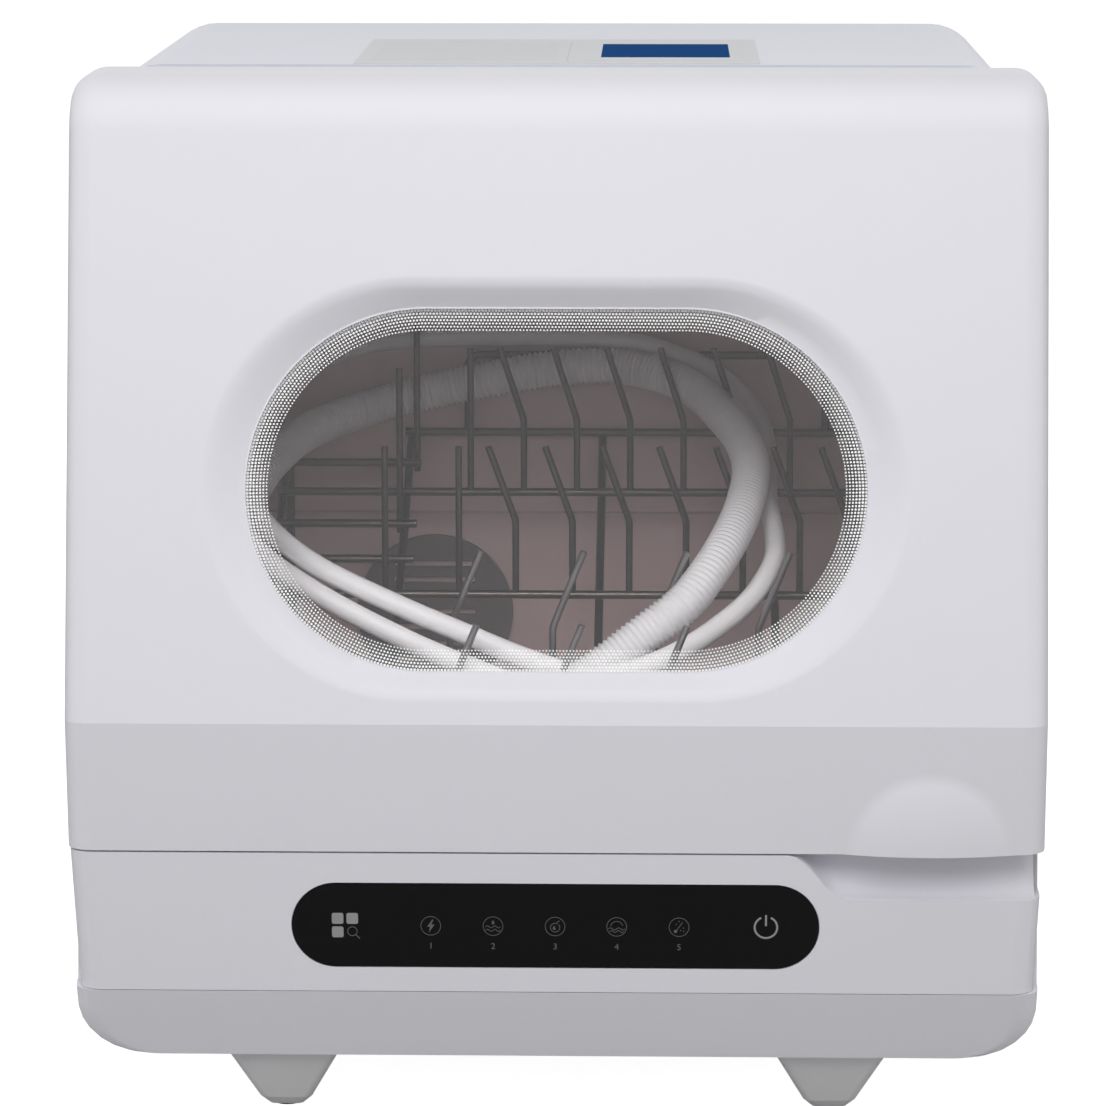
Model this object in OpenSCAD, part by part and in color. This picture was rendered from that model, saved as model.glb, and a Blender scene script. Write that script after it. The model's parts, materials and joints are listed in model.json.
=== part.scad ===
// Countertop dishwasher with a top-hinged front door.
// Frame: +Z up, front towards -Y, +X to the right of someone who faces the door.
// Origin: centre of the footprint, on the surface that the feet stand on.

/* [Overall] */
// Width over the door
body_w = 420; // [410:1:440]
// Depth from the door crease to the ends of the rear ports
body_d = 420; // [414:1:440]
// Height of the body above the feet
body_h = 424.5; // [420:1:440]
// Height of the feet
foot_h = 30; // [22:1:40]

/* [Base] */
// Height of the sloping skirt under the fascia
skirt_h = 33.5; // [28:0.5:38]
// How far the skirt runs in towards the floor
skirt_in = 17.5; // [10:0.5:22]
// Radius of the lower corners, seen from the front
base_corner_r = 25; // [16:1:27]
// Height of the control fascia
fascia_h = 63; // [58:0.5:68]
// Moulding thickness of the casings
wall = 2.5; // [1.8:0.1:3]
// Drop of the finger notch in the fascia
notch_drop = 20; // [14:1:24]
// Where the finger notch starts, from the centre
notch_x = 100; // [90:1:115]
// Width over the top of a foot
foot_top_w = 50; // [40:1:56]
// Width over the sole of a foot
foot_sole_w = 21; // [18:1:30]
// Distance of the feet from the centre, sideways
foot_x = 120; // [100:1:130]

/* [Housing] */
// Width of the upper housing
housing_w = 404; // [400:1:408]
// Radius of the housing's long top edges
housing_r = 25; // [14:1:32]
// Distance that the rear ports stand out
port_out = 14; // [10:1:18]

/* [Door] */
// Height of the door below its crease
door_low_h = 57; // [50:1:64]
// Lean of the door's upper face, in degrees
door_lean = 12; // [10:0.5:13]
// Undercut of the lower face and fascia, in degrees
under_lean = 6; // [4:0.5:7]
// Radius between the door's face and its top
door_top_r = 28; // [20:1:32]
// Rounding of the door's side edges
door_edge_r = 11; // [7:0.5:13]
// Thickness of the door at its lower edge
door_foot_t = 38; // [36:1:40]
// Gap between the door and its neighbours
door_gap = 0.8; // [0.6:0.1:1.2]
// Opening angle of the door
door_open = 95; // [80:1:97]
// Radius of the hinge bar at the top of the door
hinge_bar_r = 8; // [7.5:0.5:8.5]
// Distance of the hinge pins from the centre
hinge_x = 130; // [110:1:150]
// Radius of the hinge pins
pin_r = 2.5; // [2:0.1:3]
// Radius of the finger bulge's outline
bulge_r = 37.5; // [30:0.5:42]
// How far the finger bulge stands out
bulge_out = 6; // [4:0.5:7]
// Distance of the finger bulge from the centre
bulge_x = 160; // [150:1:162]

/* [Window] */
// Half width of the straight part of the glass
glass_half = 55.5; // [50:0.5:60]
// Radius of the round ends of the visible glass
glass_r = 77.5; // [72:0.5:80]
// Thickness of the glass
glass_t = 4; // [3:0.5:5]
// Width of the sloping surround at the round ends
surround_side = 15; // [13:0.5:16]
// Width of the sloping surround above and below
surround_top = 9.5; // [8:0.5:11]
// Depth of the surround
surround_deep = 9; // [7:0.5:10]
// Height of the window's centre above the door crease, along the door
window_up = 100.5; // [98:0.5:104]

/* [Controls] */
// Length of the control lens
lens_w = 227; // [210:1:232]
// Height of the control lens
lens_h = 38.4; // [34:0.2:40]
// Thickness of the control lens
lens_t = 1.6; // [1.2:0.1:1.8]

/* [Wash chamber] */
// Inner width of the tub
tub_w = 344; // [342:1:348]
// Height of the tub floor above the foot plane
tub_floor_z = 110; // [109:0.5:111]
// Inner height of the tub
tub_h = 305; // [300:1:308]
// Depth of the tub behind the centre
tub_back = 136; // [134:1:138]
// Wall of the tub
tub_wall = 2; // [1.6:0.1:2.2]
// Width of the tub's mouth
mouth_w = 328; // [320:1:332]
// Radius of the tub's corners
tub_r = 32; // [24:1:36]
// Reach of the spray arm
spray_reach = 115; // [100:1:118]
// Bearing radius of the spray arm
spray_pin_r = 6; // [5:0.5:7]

/* [Rack] */
// Wire of the rack's frame
frame_wire = 4; // [3.6:0.1:4.2]
// Wire of the tines
tine_wire = 3.2; // [2.8:0.1:3.4]
// Height of the tines over their rod
tine_h = 70; // [64:1:72]
// Slope of the rack's bed, in degrees
bed_slope = 25.6; // [24:0.2:27]
// Height of the bed at the centre of the tub
bed_z = 200.8; // [199:0.2:203]
// Distance between the side frames and the centre
rack_half = 138; // [136:0.5:139]
// Travel of the rack on its runners
rack_travel = 20; // [15:1:22]

/* [Stowed hoses] */
// Outer diameter of the ribbed drain hose
hose_d = 18; // [17:0.5:18]
// Bore of the drain hose
hose_bore = 15; // [13:0.5:15]
// Depth of the drain hose's ribs
rib_deep = 0.9; // [0.5:0.1:1]
// Number of ribs on the drain hose
rib_count = 150; // [100:1:200]
// Length of the smooth cuffs at the drain hose's ends
cuff_l = 26; // [20:1:40]
// Outer diameter of the supply tube
tube_d = 9.5; // [9:0.5:9.5]
// Bore of the supply tube
tube_bore = 6.4; // [5:0.1:6.5]

/* [Hidden] */

$fn = 64;
// Small overlap that lets a cut run clear through a face
cut = 1;
// Assembly clearance between pieces that are screwed or clipped together
fit = 0.3;
// Working clearance of a turning fit, on the radius
run = 0.05;
// Thickness of a slice that a rounded form is lofted through
slice = 0.01;
// Steps in a quarter of a rounded edge
arc_steps = 6;

// Heights
base_z = foot_h;
skirt_z = base_z + skirt_h;
fascia_z = skirt_z + fascia_h;
door_z = fascia_z + door_gap;
crease_z = door_z + door_low_h;
top_z = base_z + body_h;

// Front outline of the body, from the side
front_y = -body_d / 2;
door_low_y = front_y + door_low_h * tan(under_lean);
fascia_y = door_low_y + door_gap * tan(under_lean);
skirt_y = fascia_y + fascia_h * tan(under_lean);
base_y = skirt_y + skirt_in;
rear_y = body_d / 2 - port_out;

// Half widths of the base at its three edges
base_half = body_w / 2 - 0.7;
skirt_half = body_w / 2 - 3.4;

// Parting plane between the door and the body leans with the door
part_y = door_low_y + door_foot_t;
frame_gap = 1.5;
frame_t = 5;
function part_at(z) = part_y + (z - door_z) * tan(door_lean);
function front_at(z) = z < skirt_z ? base_y - skirt_in * (z - base_z) / skirt_h
    : skirt_y - (z - skirt_z) * tan(under_lean);
function face_at(z) = front_y + (z - crease_z) * tan(door_lean);
function step_normal(d) = d / cos(door_lean);

// Hinge axis
hinge_z = top_z - hinge_bar_r - 0.4;
hinge_y = part_at(hinge_z) + 5.5;

// Housing front edge clears the hinge bar
housing_front_y = hinge_y + hinge_bar_r + 2;

// Window, measured square to the door's upper face
lip_t = 2;
lip_n = surround_deep + lip_t;
gasket_lip = 1.5;
glass_n = lip_n + 0.1 + gasket_lip + 0.1;
gasket_t = glass_t + 2 * (gasket_lip + 0.1);
door_t = (part_at(crease_z) - front_y) * cos(door_lean);
liner_in = 4;
liner_t = 2.5;

// Rack
function bed_at(y) = bed_z + y * tan(bed_slope);
frame_r = frame_wire / 2;
tine_r = tine_wire / 2;
weld = 0.4;
rod_lift = (frame_wire + 0.1) / cos(bed_slope);
row_back_y = 75;
row_middle_y = 0;
row_front_y = -75;
row_low_y = -125;
rack_back_y = 122;
rack_front_y = -134;
rail_z = 131;
runner_z = rail_z - 5;
aisle_x = [-78, 16, 98];

// Spray arm and pump room
sump_c = [75, -62];
sump_r = 48.5;
sump_wall = 2.5;
sump_bottom_z = tub_floor_z - 44;
pump_x = 128;
pump_z = 74;
pump_r = 28;
pump_w = 24;
drain_c = [-5, 62];
drain_r = 20;
drain_y = [-74, -50];
port_z = 84;
port_x = -120;

// A flat outline in Y and Z, drawn out along X
module along_x(w) {
    rotate([90, 0, 90]) linear_extrude(height = w, center = true) children();
}

// A flat outline in X and Z, drawn out from y0 to y1
module along_y(y0, y1) {
    translate([0, y1, 0]) rotate([90, 0, 0]) linear_extrude(height = y1 - y0) children();
}

// Points of an arc, from angle a0 to a1
function arc(c, r, a0, a1, steps = arc_steps) =
    [for (i = [0 : steps]) let (a = a0 + (a1 - a0) * i / steps) c + r * [cos(a), sin(a)]];

// Rectangle with four rounded corners, centred in X
function round_rect(half, low, high, r) = concat(
    arc([half - r, low + r], r, -90, 0), arc([half - r, high - r], r, 0, 90),
    arc([-half + r, high - r], r, 90, 180), arc([-half + r, low + r], r, 180, 270));

// Solid with straight sides and round ends, long in X
module racetrack(half, r, h) {
    for (s = [0, 180]) rotate([0, 0, s]) translate([half, 0, 0]) rotate([0, 0, -90])
        rotate_extrude(angle = 180) square([r, h]);
    translate([-half, -r, 0]) cube([2 * half, 2 * r, h]);
}

// Square ring section taken round a racetrack
module racetrack_ring(half, r_in, r_out, h) {
    for (s = [0, 180]) rotate([0, 0, s]) {
        translate([half, 0, 0]) rotate([0, 0, -90])
            rotate_extrude(angle = 180) translate([r_in, 0]) square([r_out - r_in, h]);
        translate([-half, r_in, 0]) cube([2 * half, r_out - r_in, h]);
    }
}

// Outline points of a racetrack, for a loft
function track_points(half, r, n, steps = 16) = concat(
    [for (p = arc([half, 0], r, -90, 90, steps)) [p[0], p[1], n]],
    [for (p = arc([-half, 0], r, 90, 270, steps)) [p[0], p[1], n]]);

// Closed solid through rings of equal point count, first ring at the bottom
module loft(rings) {
    count = len(rings[0]);
    last = len(rings) - 1;
    points = [for (ring = rings) for (p = ring) p];
    sides = [for (k = [0 : last - 1]) for (i = [0 : count - 1])
        let (a = k * count + i, b = k * count + (i + 1) % count)
        each [[a, b + count, b], [a, a + count, b + count]]];
    polyhedron(points = points, faces = concat(sides,
        [[for (i = [0 : count - 1]) i]],
        [[for (i = [count - 1 : -1 : 0]) last * count + i]]), convexity = 6);
}

// Straight round wire between two points of the XY plane
module straight_wire(a, b, r) {
    translate([a[0], a[1], 0]) rotate([0, 0, atan2(b[1] - a[1], b[0] - a[0])])
        rotate([0, 90, 0]) cylinder(h = norm(b - a), r = r, $fn = 24);
}

// Signed turn of a path at its middle point, and the length that its bend takes off each side
function turn(a, b, c) = let (u = b - a, v = c - b) atan2(u[0] * v[1] - u[1] * v[0], u * v);
function setback(a, b, c, bend) = bend * tan(abs(turn(a, b, c)) / 2);

// Round bend of a wire at the middle one of three points, a hair thicker and longer than
// the straight stretches so that they end inside it
module wire_bend(a, b, c, bend, r) {
    swell = 0.03;
    over = 1.5;
    t = turn(a, b, c);
    u = (b - a) / norm(b - a);
    start = b - u * setback(a, b, c, bend);
    centre = start + sign(t) * bend * [-u[1], u[0]];
    first = atan2(start[1] - centre[1], start[0] - centre[0]);
    translate([centre[0], centre[1], 0]) rotate([0, 0, (t > 0 ? first : first + t) - over])
        rotate_extrude(angle = abs(t) + 2 * over) translate([bend, 0]) circle(r + swell, $fn = 24);
}

// Wire through points of the XY plane, with round bends, open or closed to a loop
module bent_wire(points, bend, r, closed = false) {
    n = len(points);
    function at(i) = points[(i + n) % n];
    function back(i) = !closed && (i == 0 || i == n - 1) ? 0
        : setback(at(i - 1), at(i), at(i + 1), bend);
    for (i = [0 : closed ? n - 1 : n - 2]) {
        u = (at(i + 1) - at(i)) / norm(at(i + 1) - at(i));
        straight_wire(at(i) + u * back(i), at(i + 1) - u * back((i + 1) % n), r);
    }
    for (i = closed ? [0 : n - 1] : [1 : n - 2]) wire_bend(at(i - 1), at(i), at(i + 1), bend, r);
}

// Bent pipe with an open bore
module bent_tube(points, bend, r, bore) {
    n = len(points) - 1;
    function past(a, b) = a + (a - b) / norm(a - b) * cut;
    difference() {
        bent_wire(points, bend, r);
        bent_wire([for (i = [0 : n]) i == 0 ? past(points[0], points[1])
            : i == n ? past(points[n], points[n - 1]) : points[i]], bend, bore);
    }
}

// Places children on the door's upper face: X across, Y up the face, Z outwards
module on_door_face() {
    translate([0, front_y, crease_z]) rotate([90 - door_lean, 0, 0]) children();
}

// Places children on the fascia, at height z
module on_fascia(z) {
    translate([0, front_at(z), z]) rotate([90 + under_lean, 0, 0]) children();
}

// Places children on the plane where door and body part: Z towards the front
module on_parting(z) {
    translate([0, part_at(z), z]) rotate([90 - door_lean, 0, 0]) children();
}

// Everything in front of the parting plane, moved back by a distance, above a height
module front_of_parting(back, low) {
    high = top_z + 60;
    along_x(body_w + 80) polygon([[front_y - 60, low], [part_at(low) + step_normal(back), low],
        [part_at(high) + step_normal(back), high], [front_y - 60, high]]);
}

// Everything behind the parting plane, moved back by a distance
module behind_parting(back) {
    low = 0;
    high = top_z + 60;
    along_x(body_w + 80) polygon([[part_at(low) + step_normal(back), low], [rear_y + 60, low],
        [rear_y + 60, high], [part_at(high) + step_normal(back), high]]);
}

// Side outline of the door, set in at its faces and top by a distance, and run past its
// lower and rear edges for trimming
module door_side(inset) {
    fillet = [face_at(top_z - door_top_r * (1 - sin(door_lean))) + door_top_r * cos(door_lean),
        top_z - door_top_r];
    spare = 30;
    rise = inset * (1 / cos(under_lean) - 1 / cos(door_lean)) / (tan(under_lean) + tan(door_lean));
    polygon(concat(
        [[door_low_y + spare * tan(under_lean) + inset / cos(under_lean), door_z - spare],
            [front_y - rise * tan(under_lean) + inset / cos(under_lean), crease_z + rise]],
        arc(fillet, door_top_r - inset, 180 - door_lean, 90, 10),
        [[part_y + 150, top_z - inset], [part_y + 150, door_z - spare]]));
}

// Rounded form of the door, set in by a distance
module door_form(inset) {
    r = door_edge_r - min(inset, door_edge_r - 1);
    hull() for (s = [-1, 1], k = [0 : arc_steps]) {
        a = 90 * k / arc_steps;
        translate([s * (body_w / 2 - inset - r * (1 - cos(a))), 0, 0])
            along_x(slice) door_side(inset + r * (1 - sin(a)));
    }
}

// Rounded form of the base, set in by a distance
module base_form(inset) {
    r = door_edge_r - inset;
    corner = base_corner_r - inset;
    low = base_z + inset;
    arc_z = [for (k = [0 : arc_steps]) let (a = 84 * k / arc_steps)
        [low + corner * (1 - cos(a)), skirt_half - inset - corner * (1 - sin(a))]];
    levels = concat(arc_z, [[skirt_z, skirt_half - inset],
        [fascia_z - slice, base_half - inset]]);
    hull() for (l = levels) translate([0, 0, l[0]]) linear_extrude(height = slice)
        polygon(round_rect(l[1], front_at(l[0]) + inset, rear_y - inset, r));
}

// Top line of the fascia with the finger notch, as a region below it
module below_notch(drop) {
    far = body_w;
    run_out = notch_drop * 1.25;
    line = [for (i = [0 : 8]) let (t = i / 8)
        [notch_x + run_out * t, fascia_z - notch_drop * (1 - cos(180 * t)) / 2 - drop]];
    polygon(concat([[-far, 0], [-far, fascia_z - drop]], line, [[far, fascia_z - notch_drop - drop], [far, 0]]));
}

// Base moulding: skirt, floor, sides and rear, with a rim that carries the housing
module base_tray() {
    color("gainsboro") difference() {
        base_form(0);
        difference() {
            base_form(wall);
            translate([-body_w, -body_d, fascia_z - wall]) cube([2 * body_w, 2 * body_d, wall + cut]);
            for (p = tray_bosses()) translate([p[0], p[1], base_z]) cylinder(h = p[2], r = 5);
        }
        translate([-rim_half, front_y, fascia_z - wall - cut])
            cube([2 * rim_half, rear_y - rim_in - front_y, wall + 2 * cut]);
        intersection() {
            front_of_parting(frame_gap, skirt_z);
            translate([-body_w, -body_d, skirt_z]) cube([2 * body_w, 2 * body_d, body_h]);
        }
        intersection() {
            front_of_parting(frame_gap + frame_t + fit, skirt_z);
            translate([wall - housing_w / 2, -body_d, fascia_z - wall - cut])
                cube([housing_w - 2 * wall, 2 * body_d, wall + 2 * cut]);
        }
        for (x = [-1, 1] * foot_x, y = foot_rows) translate([x, y, base_z - cut])
            cylinder(h = wall + 2 * cut, r = 3.2);
        translate([port_x, rear_y - wall - cut, port_z]) rotate([-90, 0, 0])
            cylinder(h = wall + 2 * cut, r = spigot_neck + fit);
        translate([valve_x, rear_y - wall - cut, port_z]) rotate([-90, 0, 0])
            cylinder(h = wall + 2 * cut, r = valve_r + fit);
        translate([gland_x, rear_y - wall - cut, port_z]) rotate([-90, 0, 0])
            cylinder(h = wall + 2 * cut, r = gland_r + fit);
        for (i = [-4 : 4]) translate([i * 9 - 1.5, -40, base_z - cut]) cube([3, 80, wall + 2 * cut]);
    }
}
rim_half = housing_w / 2 - 8;
rim_in = 9;
foot_rows = [-150, 150];
spigot_r = hose_bore / 2;
spigot_neck = spigot_r + 1.5;
valve_r = 11;
valve_x = 150;
gland_x = 60;
gland_r = 9;
// Posts in the tray: x, y and height over the tray's underside
function tray_bosses() = concat(
    [for (x = [-178, -80], y = [-150, -80]) [x, y, board_lift]],
    [for (x = [-1, 1] * 190, y = [-90, 90]) [x, y, fascia_z - base_z]]);

// One tapered foot, square with rounded corners
module foot() {
    hull() {
        translate([0, 0, foot_h - slice]) linear_extrude(height = slice)
            polygon(round_rect(foot_top_w / 2, -foot_top_w / 2, foot_top_w / 2, 5));
        translate([0, 0, 5]) linear_extrude(height = slice)
            polygon(round_rect(foot_sole_w / 2 + 1, -foot_sole_w / 2 - 1, foot_sole_w / 2 + 1, 4));
        translate([0, 0, 1]) linear_extrude(height = slice)
            polygon(round_rect(foot_sole_w / 2 - 3, -foot_sole_w / 2 + 3, foot_sole_w / 2 - 3, 3));
    }
}

module feet() {
    color("darkgray") for (x = [-1, 1] * foot_x, y = foot_rows) translate([x, y, 0]) {
        difference() {
            foot();
            cylinder(h = pad_t, r = pad_r + fit);
        }
        translate([0, 0, foot_h]) cylinder(h = wall + 3, r = 3);
    }
}

module foot_pads() {
    color("dimgray") for (x = [-1, 1] * foot_x, y = foot_rows) translate([x, y, 0])
        cylinder(h = pad_t, r = pad_r);
}
pad_t = 2.4;
pad_r = 6;

// Control fascia with the lens opening and the finger notch's floor
module front_fascia() {
    color("whitesmoke") difference() {
        intersection() {
            base_form(0);
            along_y(-body_d, 0) below_notch(0);
        }
        intersection() {
            base_form(wall);
            along_y(-body_d, 0) below_notch(wall);
        }
        behind_parting(frame_gap - fit);
        translate([-body_w, -body_d, 0]) cube([2 * body_w, 2 * body_d, skirt_z + fit]);
        on_fascia(lens_z) translate([0, 0, -lens_t])
            racetrack(lens_w / 2 - lens_h / 2, lens_h / 2 + fit / 2, lens_t + 5);
        on_fascia(lens_z) translate([0, 0, -wall - cut])
            racetrack(lens_w / 2 - lens_h / 2, lens_h / 2 - 2, wall + 2 * cut);
    }
}
lens_z = skirt_z + fascia_h / 2 - 1;

module control_lens() {
    color("black") on_fascia(lens_z) translate([0, 0, -lens_t])
        racetrack(lens_w / 2 - lens_h / 2, lens_h / 2 - fit / 2, lens_t);
}

// Touch board behind the lens, with its sensor pads and a ribbon socket
module control_board() {
    color("darkgreen") on_fascia(lens_z) {
        translate([0, 0, -wall - board_t]) racetrack(lens_w / 2 - lens_h / 2, lens_h / 2, board_t);
        for (x = touch_x) translate([x, 0, -wall]) cylinder(h = wall - lens_t, r = 5);
        translate([30, -10, -wall - board_t - 6]) cube([20, 6, 6]);
    }
}
board_t = 1.6;
// Places of the touch fields across the lens
touch_x = [-90, -53.5, -27, -0.5, 26, 52.5, 89];

// Outline of the housing from the front
function housing_outline(inset, low) = concat(
    [[-housing_w / 2 + inset, low], [housing_w / 2 - inset, low]],
    arc([housing_w / 2 - housing_r, top_z - housing_r], housing_r - inset, 0, 90, 8),
    arc([-housing_w / 2 + housing_r, top_z - housing_r], housing_r - inset, 90, 180, 8));

rear_edge_r = 10;
// Rounded form of the housing, set in by a distance
module housing_form(inset) {
    r = rear_edge_r - inset;
    stations = concat([for (k = [0 : arc_steps]) let (a = 90 * k / arc_steps)
        [rear_y - inset - r * (1 - cos(a)), inset + r * (1 - sin(a))]], [[front_y, inset]]);
    rotate([90, 0, 0]) loft([for (s = stations)
        [for (p = housing_outline(s[1], fascia_z - inset)) [p[0], p[1], -s[0]]]]);
}

// Upper housing: sides and top in one bent sheet, turned in at the rear
module housing_shell() {
    color("white") difference() {
        housing_form(0);
        housing_form(wall);
        front_of_parting(frame_gap, 0);
        translate([-body_w, front_y - cut, hinge_z - hinge_bar_r - 6])
            cube([2 * body_w, housing_front_y - front_y + cut, 60]);
        along_y(rear_y - wall - cut, rear_y + cut) polygon(housing_outline(rear_open, fascia_z - cut));
    }
}
rear_open = 14;

// Rear panel with its inner flange, louvres and steam outlet
module rear_panel() {
    color("whitesmoke") difference() {
        union() {
            along_y(rear_y - wall, rear_y - 0.5) polygon(housing_outline(rear_open + fit, fascia_z + fit));
            along_y(rear_y - wall - 2.3, rear_y - wall - fit)
                polygon(housing_outline(rear_edge_r, fascia_z + fit));
            along_y(rear_y - wall - 1.3, rear_y - 1.5)
                polygon(housing_outline(rear_open + 2, fascia_z + fit + 2));
        }
        for (i = [0 : 9], x = [-90, 90]) translate([x - 35, rear_y - 10, 190 + 14 * i])
            cube([70, 20, 5]);
        translate([0, rear_y - 10, 400]) rotate([-90, 0, 0]) cylinder(h = 20, r = 14);
    }
}

// Frame round the tub's mouth, with the apron behind the finger notch and the hinge ledge
module front_frame() {
    low = skirt_z + 34;
    ledge_z = hinge_z - hinge_bar_r - 4;
    back = frame_gap + frame_t;
    color("white") difference() {
        intersection() {
            along_x(body_w) polygon([
                [part_at(low) + step_normal(frame_gap), low],
                [part_at(low) + step_normal(back), low],
                [part_at(ledge_z - 5) + step_normal(back), ledge_z - 5],
                [housing_front_y + 3, ledge_z - 5], [housing_front_y + 3, top_z - wall - fit],
                [housing_front_y, top_z - wall - fit], [housing_front_y, ledge_z],
                [part_at(ledge_z) + step_normal(frame_gap), ledge_z]]);
            union() {
                along_y(front_y, 0) polygon(housing_outline(wall + fit, base_z));
                along_y(front_y, 0) polygon([for (s = [-1, 1], e = [0, 1])
                    let (top = s > 0 ? 1 - e : e, half = top > 0 ? base_half : skirt_half)
                    [s * (half - wall - fit), top > 0 ? fascia_z - wall - fit : skirt_z]]);
            }
        }
        along_y(front_y, 0) polygon(round_rect(mouth_w / 2, mouth_low, mouth_high, tub_r - 6));
        on_parting(lock_z) translate([lock_x - 5, -8, -30]) cube([10, 14, 60]);
    }
}
mouth_low = tub_floor_z + 26;
mouth_high = tub_floor_z + tub_h - 8;
// Middle of the lock, beside the tub
lock_x = housing_w / 2 - 16;
lock_z = 230;

// Tub outline, set out by a distance
function tub_outline(out) = round_rect(tub_w / 2 + out, tub_floor_z - out, tub_floor_z + tub_h + out, tub_r);
tub_step = 7;
tub_step_z = 217;

// Wash tub with the stepped rear wall, the sump hole and the spray post hole
module tub() {
    color("lightgray") difference() {
        along_y(front_y, tub_back + tub_wall) polygon(tub_outline(tub_wall));
        difference() {
            along_y(front_y - cut, tub_back) polygon(tub_outline(0));
            translate([-tub_w, tub_back - tub_step, 0]) cube([2 * tub_w, tub_step + cut, tub_step_z]);
        }
        front_of_parting(frame_gap + frame_t, 0);
        translate([sump_c[0], sump_c[1], tub_floor_z - tub_wall - cut])
            cylinder(h = tub_wall + 2 * cut, r = sump_r - 1);
        translate([0, 0, tub_floor_z - tub_wall - cut]) cylinder(h = tub_wall + 2 * cut, r = 10.2);
    }
}

// Shelves on the tub's sides that carry the rack
module rack_runners() {
    color("lightgray") for (s = [-1, 1]) difference() {
        union() {
            translate([s > 0 ? rack_half - 6 : -tub_w / 2 + fit, -138, runner_z - 3])
                cube([tub_w / 2 - rack_half + 6 - fit, 250, 3]);
            translate([s * (rack_half - 4.5) - 1.5, -138, tub_floor_z]) cube([3, 250, runner_z - tub_floor_z - 3]);
            translate([s * (rack_half - 6.5) - 1, -138, runner_z - 3]) cube([2, 250, 5]);
        }
        along_y(front_y, tub_back) difference() {
            square(1000, center = true);
            polygon(round_rect(tub_w / 2 - fit, tub_floor_z, tub_floor_z + tub_h, tub_r - fit));
        }
    }
}

// Round cap over the chamber's air vent, low on the rear wall
module wall_vent_cap() {
    color("gray") translate([-67, tub_back - tub_step, 168]) rotate([90, 0, 0]) difference() {
        cylinder(h = 5, r = 38.5);
        translate([0, 0, 3.5]) cylinder(h = 5, r = 33);
        for (i = [-3 : 3]) translate([-20, i * 8 - 1.5, -cut]) cube([40, 3, 10]);
    }
}

// Sump bowl under the tub, with its two pump spigots
module sump() {
    flange = 6;
    color("silver") difference() {
        union() {
            translate([sump_c[0], sump_c[1], sump_bottom_z])
                cylinder(h = tub_floor_z - tub_wall - sump_bottom_z, r = sump_r);
            translate([sump_c[0], sump_c[1], tub_floor_z - tub_wall - 3]) cylinder(h = 3, r = sump_r + flange);
            translate([sump_c[0], sump_c[1], pump_z + 6]) rotate([0, 90, 0])
                cylinder(h = pump_x - sump_c[0], r = 9);
            translate([sump_c[0], sump_c[1], pump_z + 2]) rotate([0, -90, 0])
                cylinder(h = sump_c[0] - 14, r = 7);
        }
        translate([sump_c[0], sump_c[1], sump_bottom_z + sump_wall])
            cylinder(h = tub_floor_z, r = sump_r - sump_wall);
        translate([sump_c[0], sump_c[1], pump_z + 6]) rotate([0, 90, 0]) cylinder(h = 80, r = 7);
        translate([sump_c[0], sump_c[1], pump_z + 2]) rotate([0, -90, 0]) cylinder(h = 90, r = 5.5);
    }
}

// Fine filter plate flush with the tub floor, with a ring of slots
module filter_plate() {
    color("silver") translate([sump_c[0], sump_c[1], tub_floor_z - 2]) difference() {
        cylinder(h = 2, r = sump_r - 1 - fit);
        translate([0, 0, -cut]) cylinder(h = 4, r = cup_r + run);
        for (i = [0 : 17]) rotate([0, 0, i * 20]) translate([cup_r + 5, -1.2, -cut]) cube([9, 2.4, 4]);
    }
}
cup_r = 26;
cup_low = sump_bottom_z + sump_wall + 2 * run;

// Twist-lock strainer cup that stands in the sump
module filter_cup() {
    color("gray") translate([sump_c[0], sump_c[1], 0]) {
        difference() {
            translate([0, 0, cup_low]) cylinder(h = tub_floor_z + 1 - cup_low, r = cup_r);
            translate([0, 0, cup_low + 2]) cylinder(h = tub_floor_z, r = cup_r - 2);
            for (i = [0 : 11], z = [0, 12]) translate([0, 0, sump_bottom_z + 14 + z]) rotate([0, 0, i * 30])
                translate([cup_r - 4, -2, 0]) cube([8, 4, 9]);
        }
        translate([-cup_r + 1, -1.5, tub_floor_z - 4]) cube([2 * cup_r - 2, 3, 5]);
    }
}

// Heating element: a ring in the sump round the strainer cup, on three legs
module heater_tube() {
    ring = (cup_r + sump_r - sump_wall) / 2;
    lift = 8;
    color("dimgray") translate([sump_c[0], sump_c[1], sump_bottom_z + sump_wall]) {
        translate([0, 0, lift]) rotate_extrude() translate([ring, 0]) circle(3.2);
        for (a = [40, 160, 280]) rotate([0, 0, a]) translate([ring, 0, 0]) cylinder(h = lift, r = 2.4);
    }
}

// Hollow post that carries the spray arm and feeds it
module spray_post() {
    color("silver") difference() {
        union() {
            translate([0, 0, 88]) cylinder(h = tub_floor_z - 88, r = 10);
            translate([0, 0, tub_floor_z]) cylinder(h = 2.5, r = 15);
            translate([0, 0, tub_floor_z + 2.5]) cylinder(h = 11.5, r = spray_pin_r);
            translate([0, 0, feed_z]) rotate([0, 90, 0]) cylinder(h = feed_x, r = 7);
        }
        translate([0, 0, 90]) cylinder(h = 60, r = spray_pin_r - 2);
        translate([0, 0, feed_z]) rotate([0, 90, 0]) cylinder(h = 30, r = 5);
    }
}

// Height of the spray arm's feed, and the end of its spigot
feed_z = pump_z + 21;
feed_x = 16;

// Outline of one blade of the spray arm
function blade(reach) = concat([[0, -11], [reach - 9, -7]],
    arc([reach - 9, 0], 7, -90, 90, 8), [[reach - 9, 7], [0, 11]]);

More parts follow.
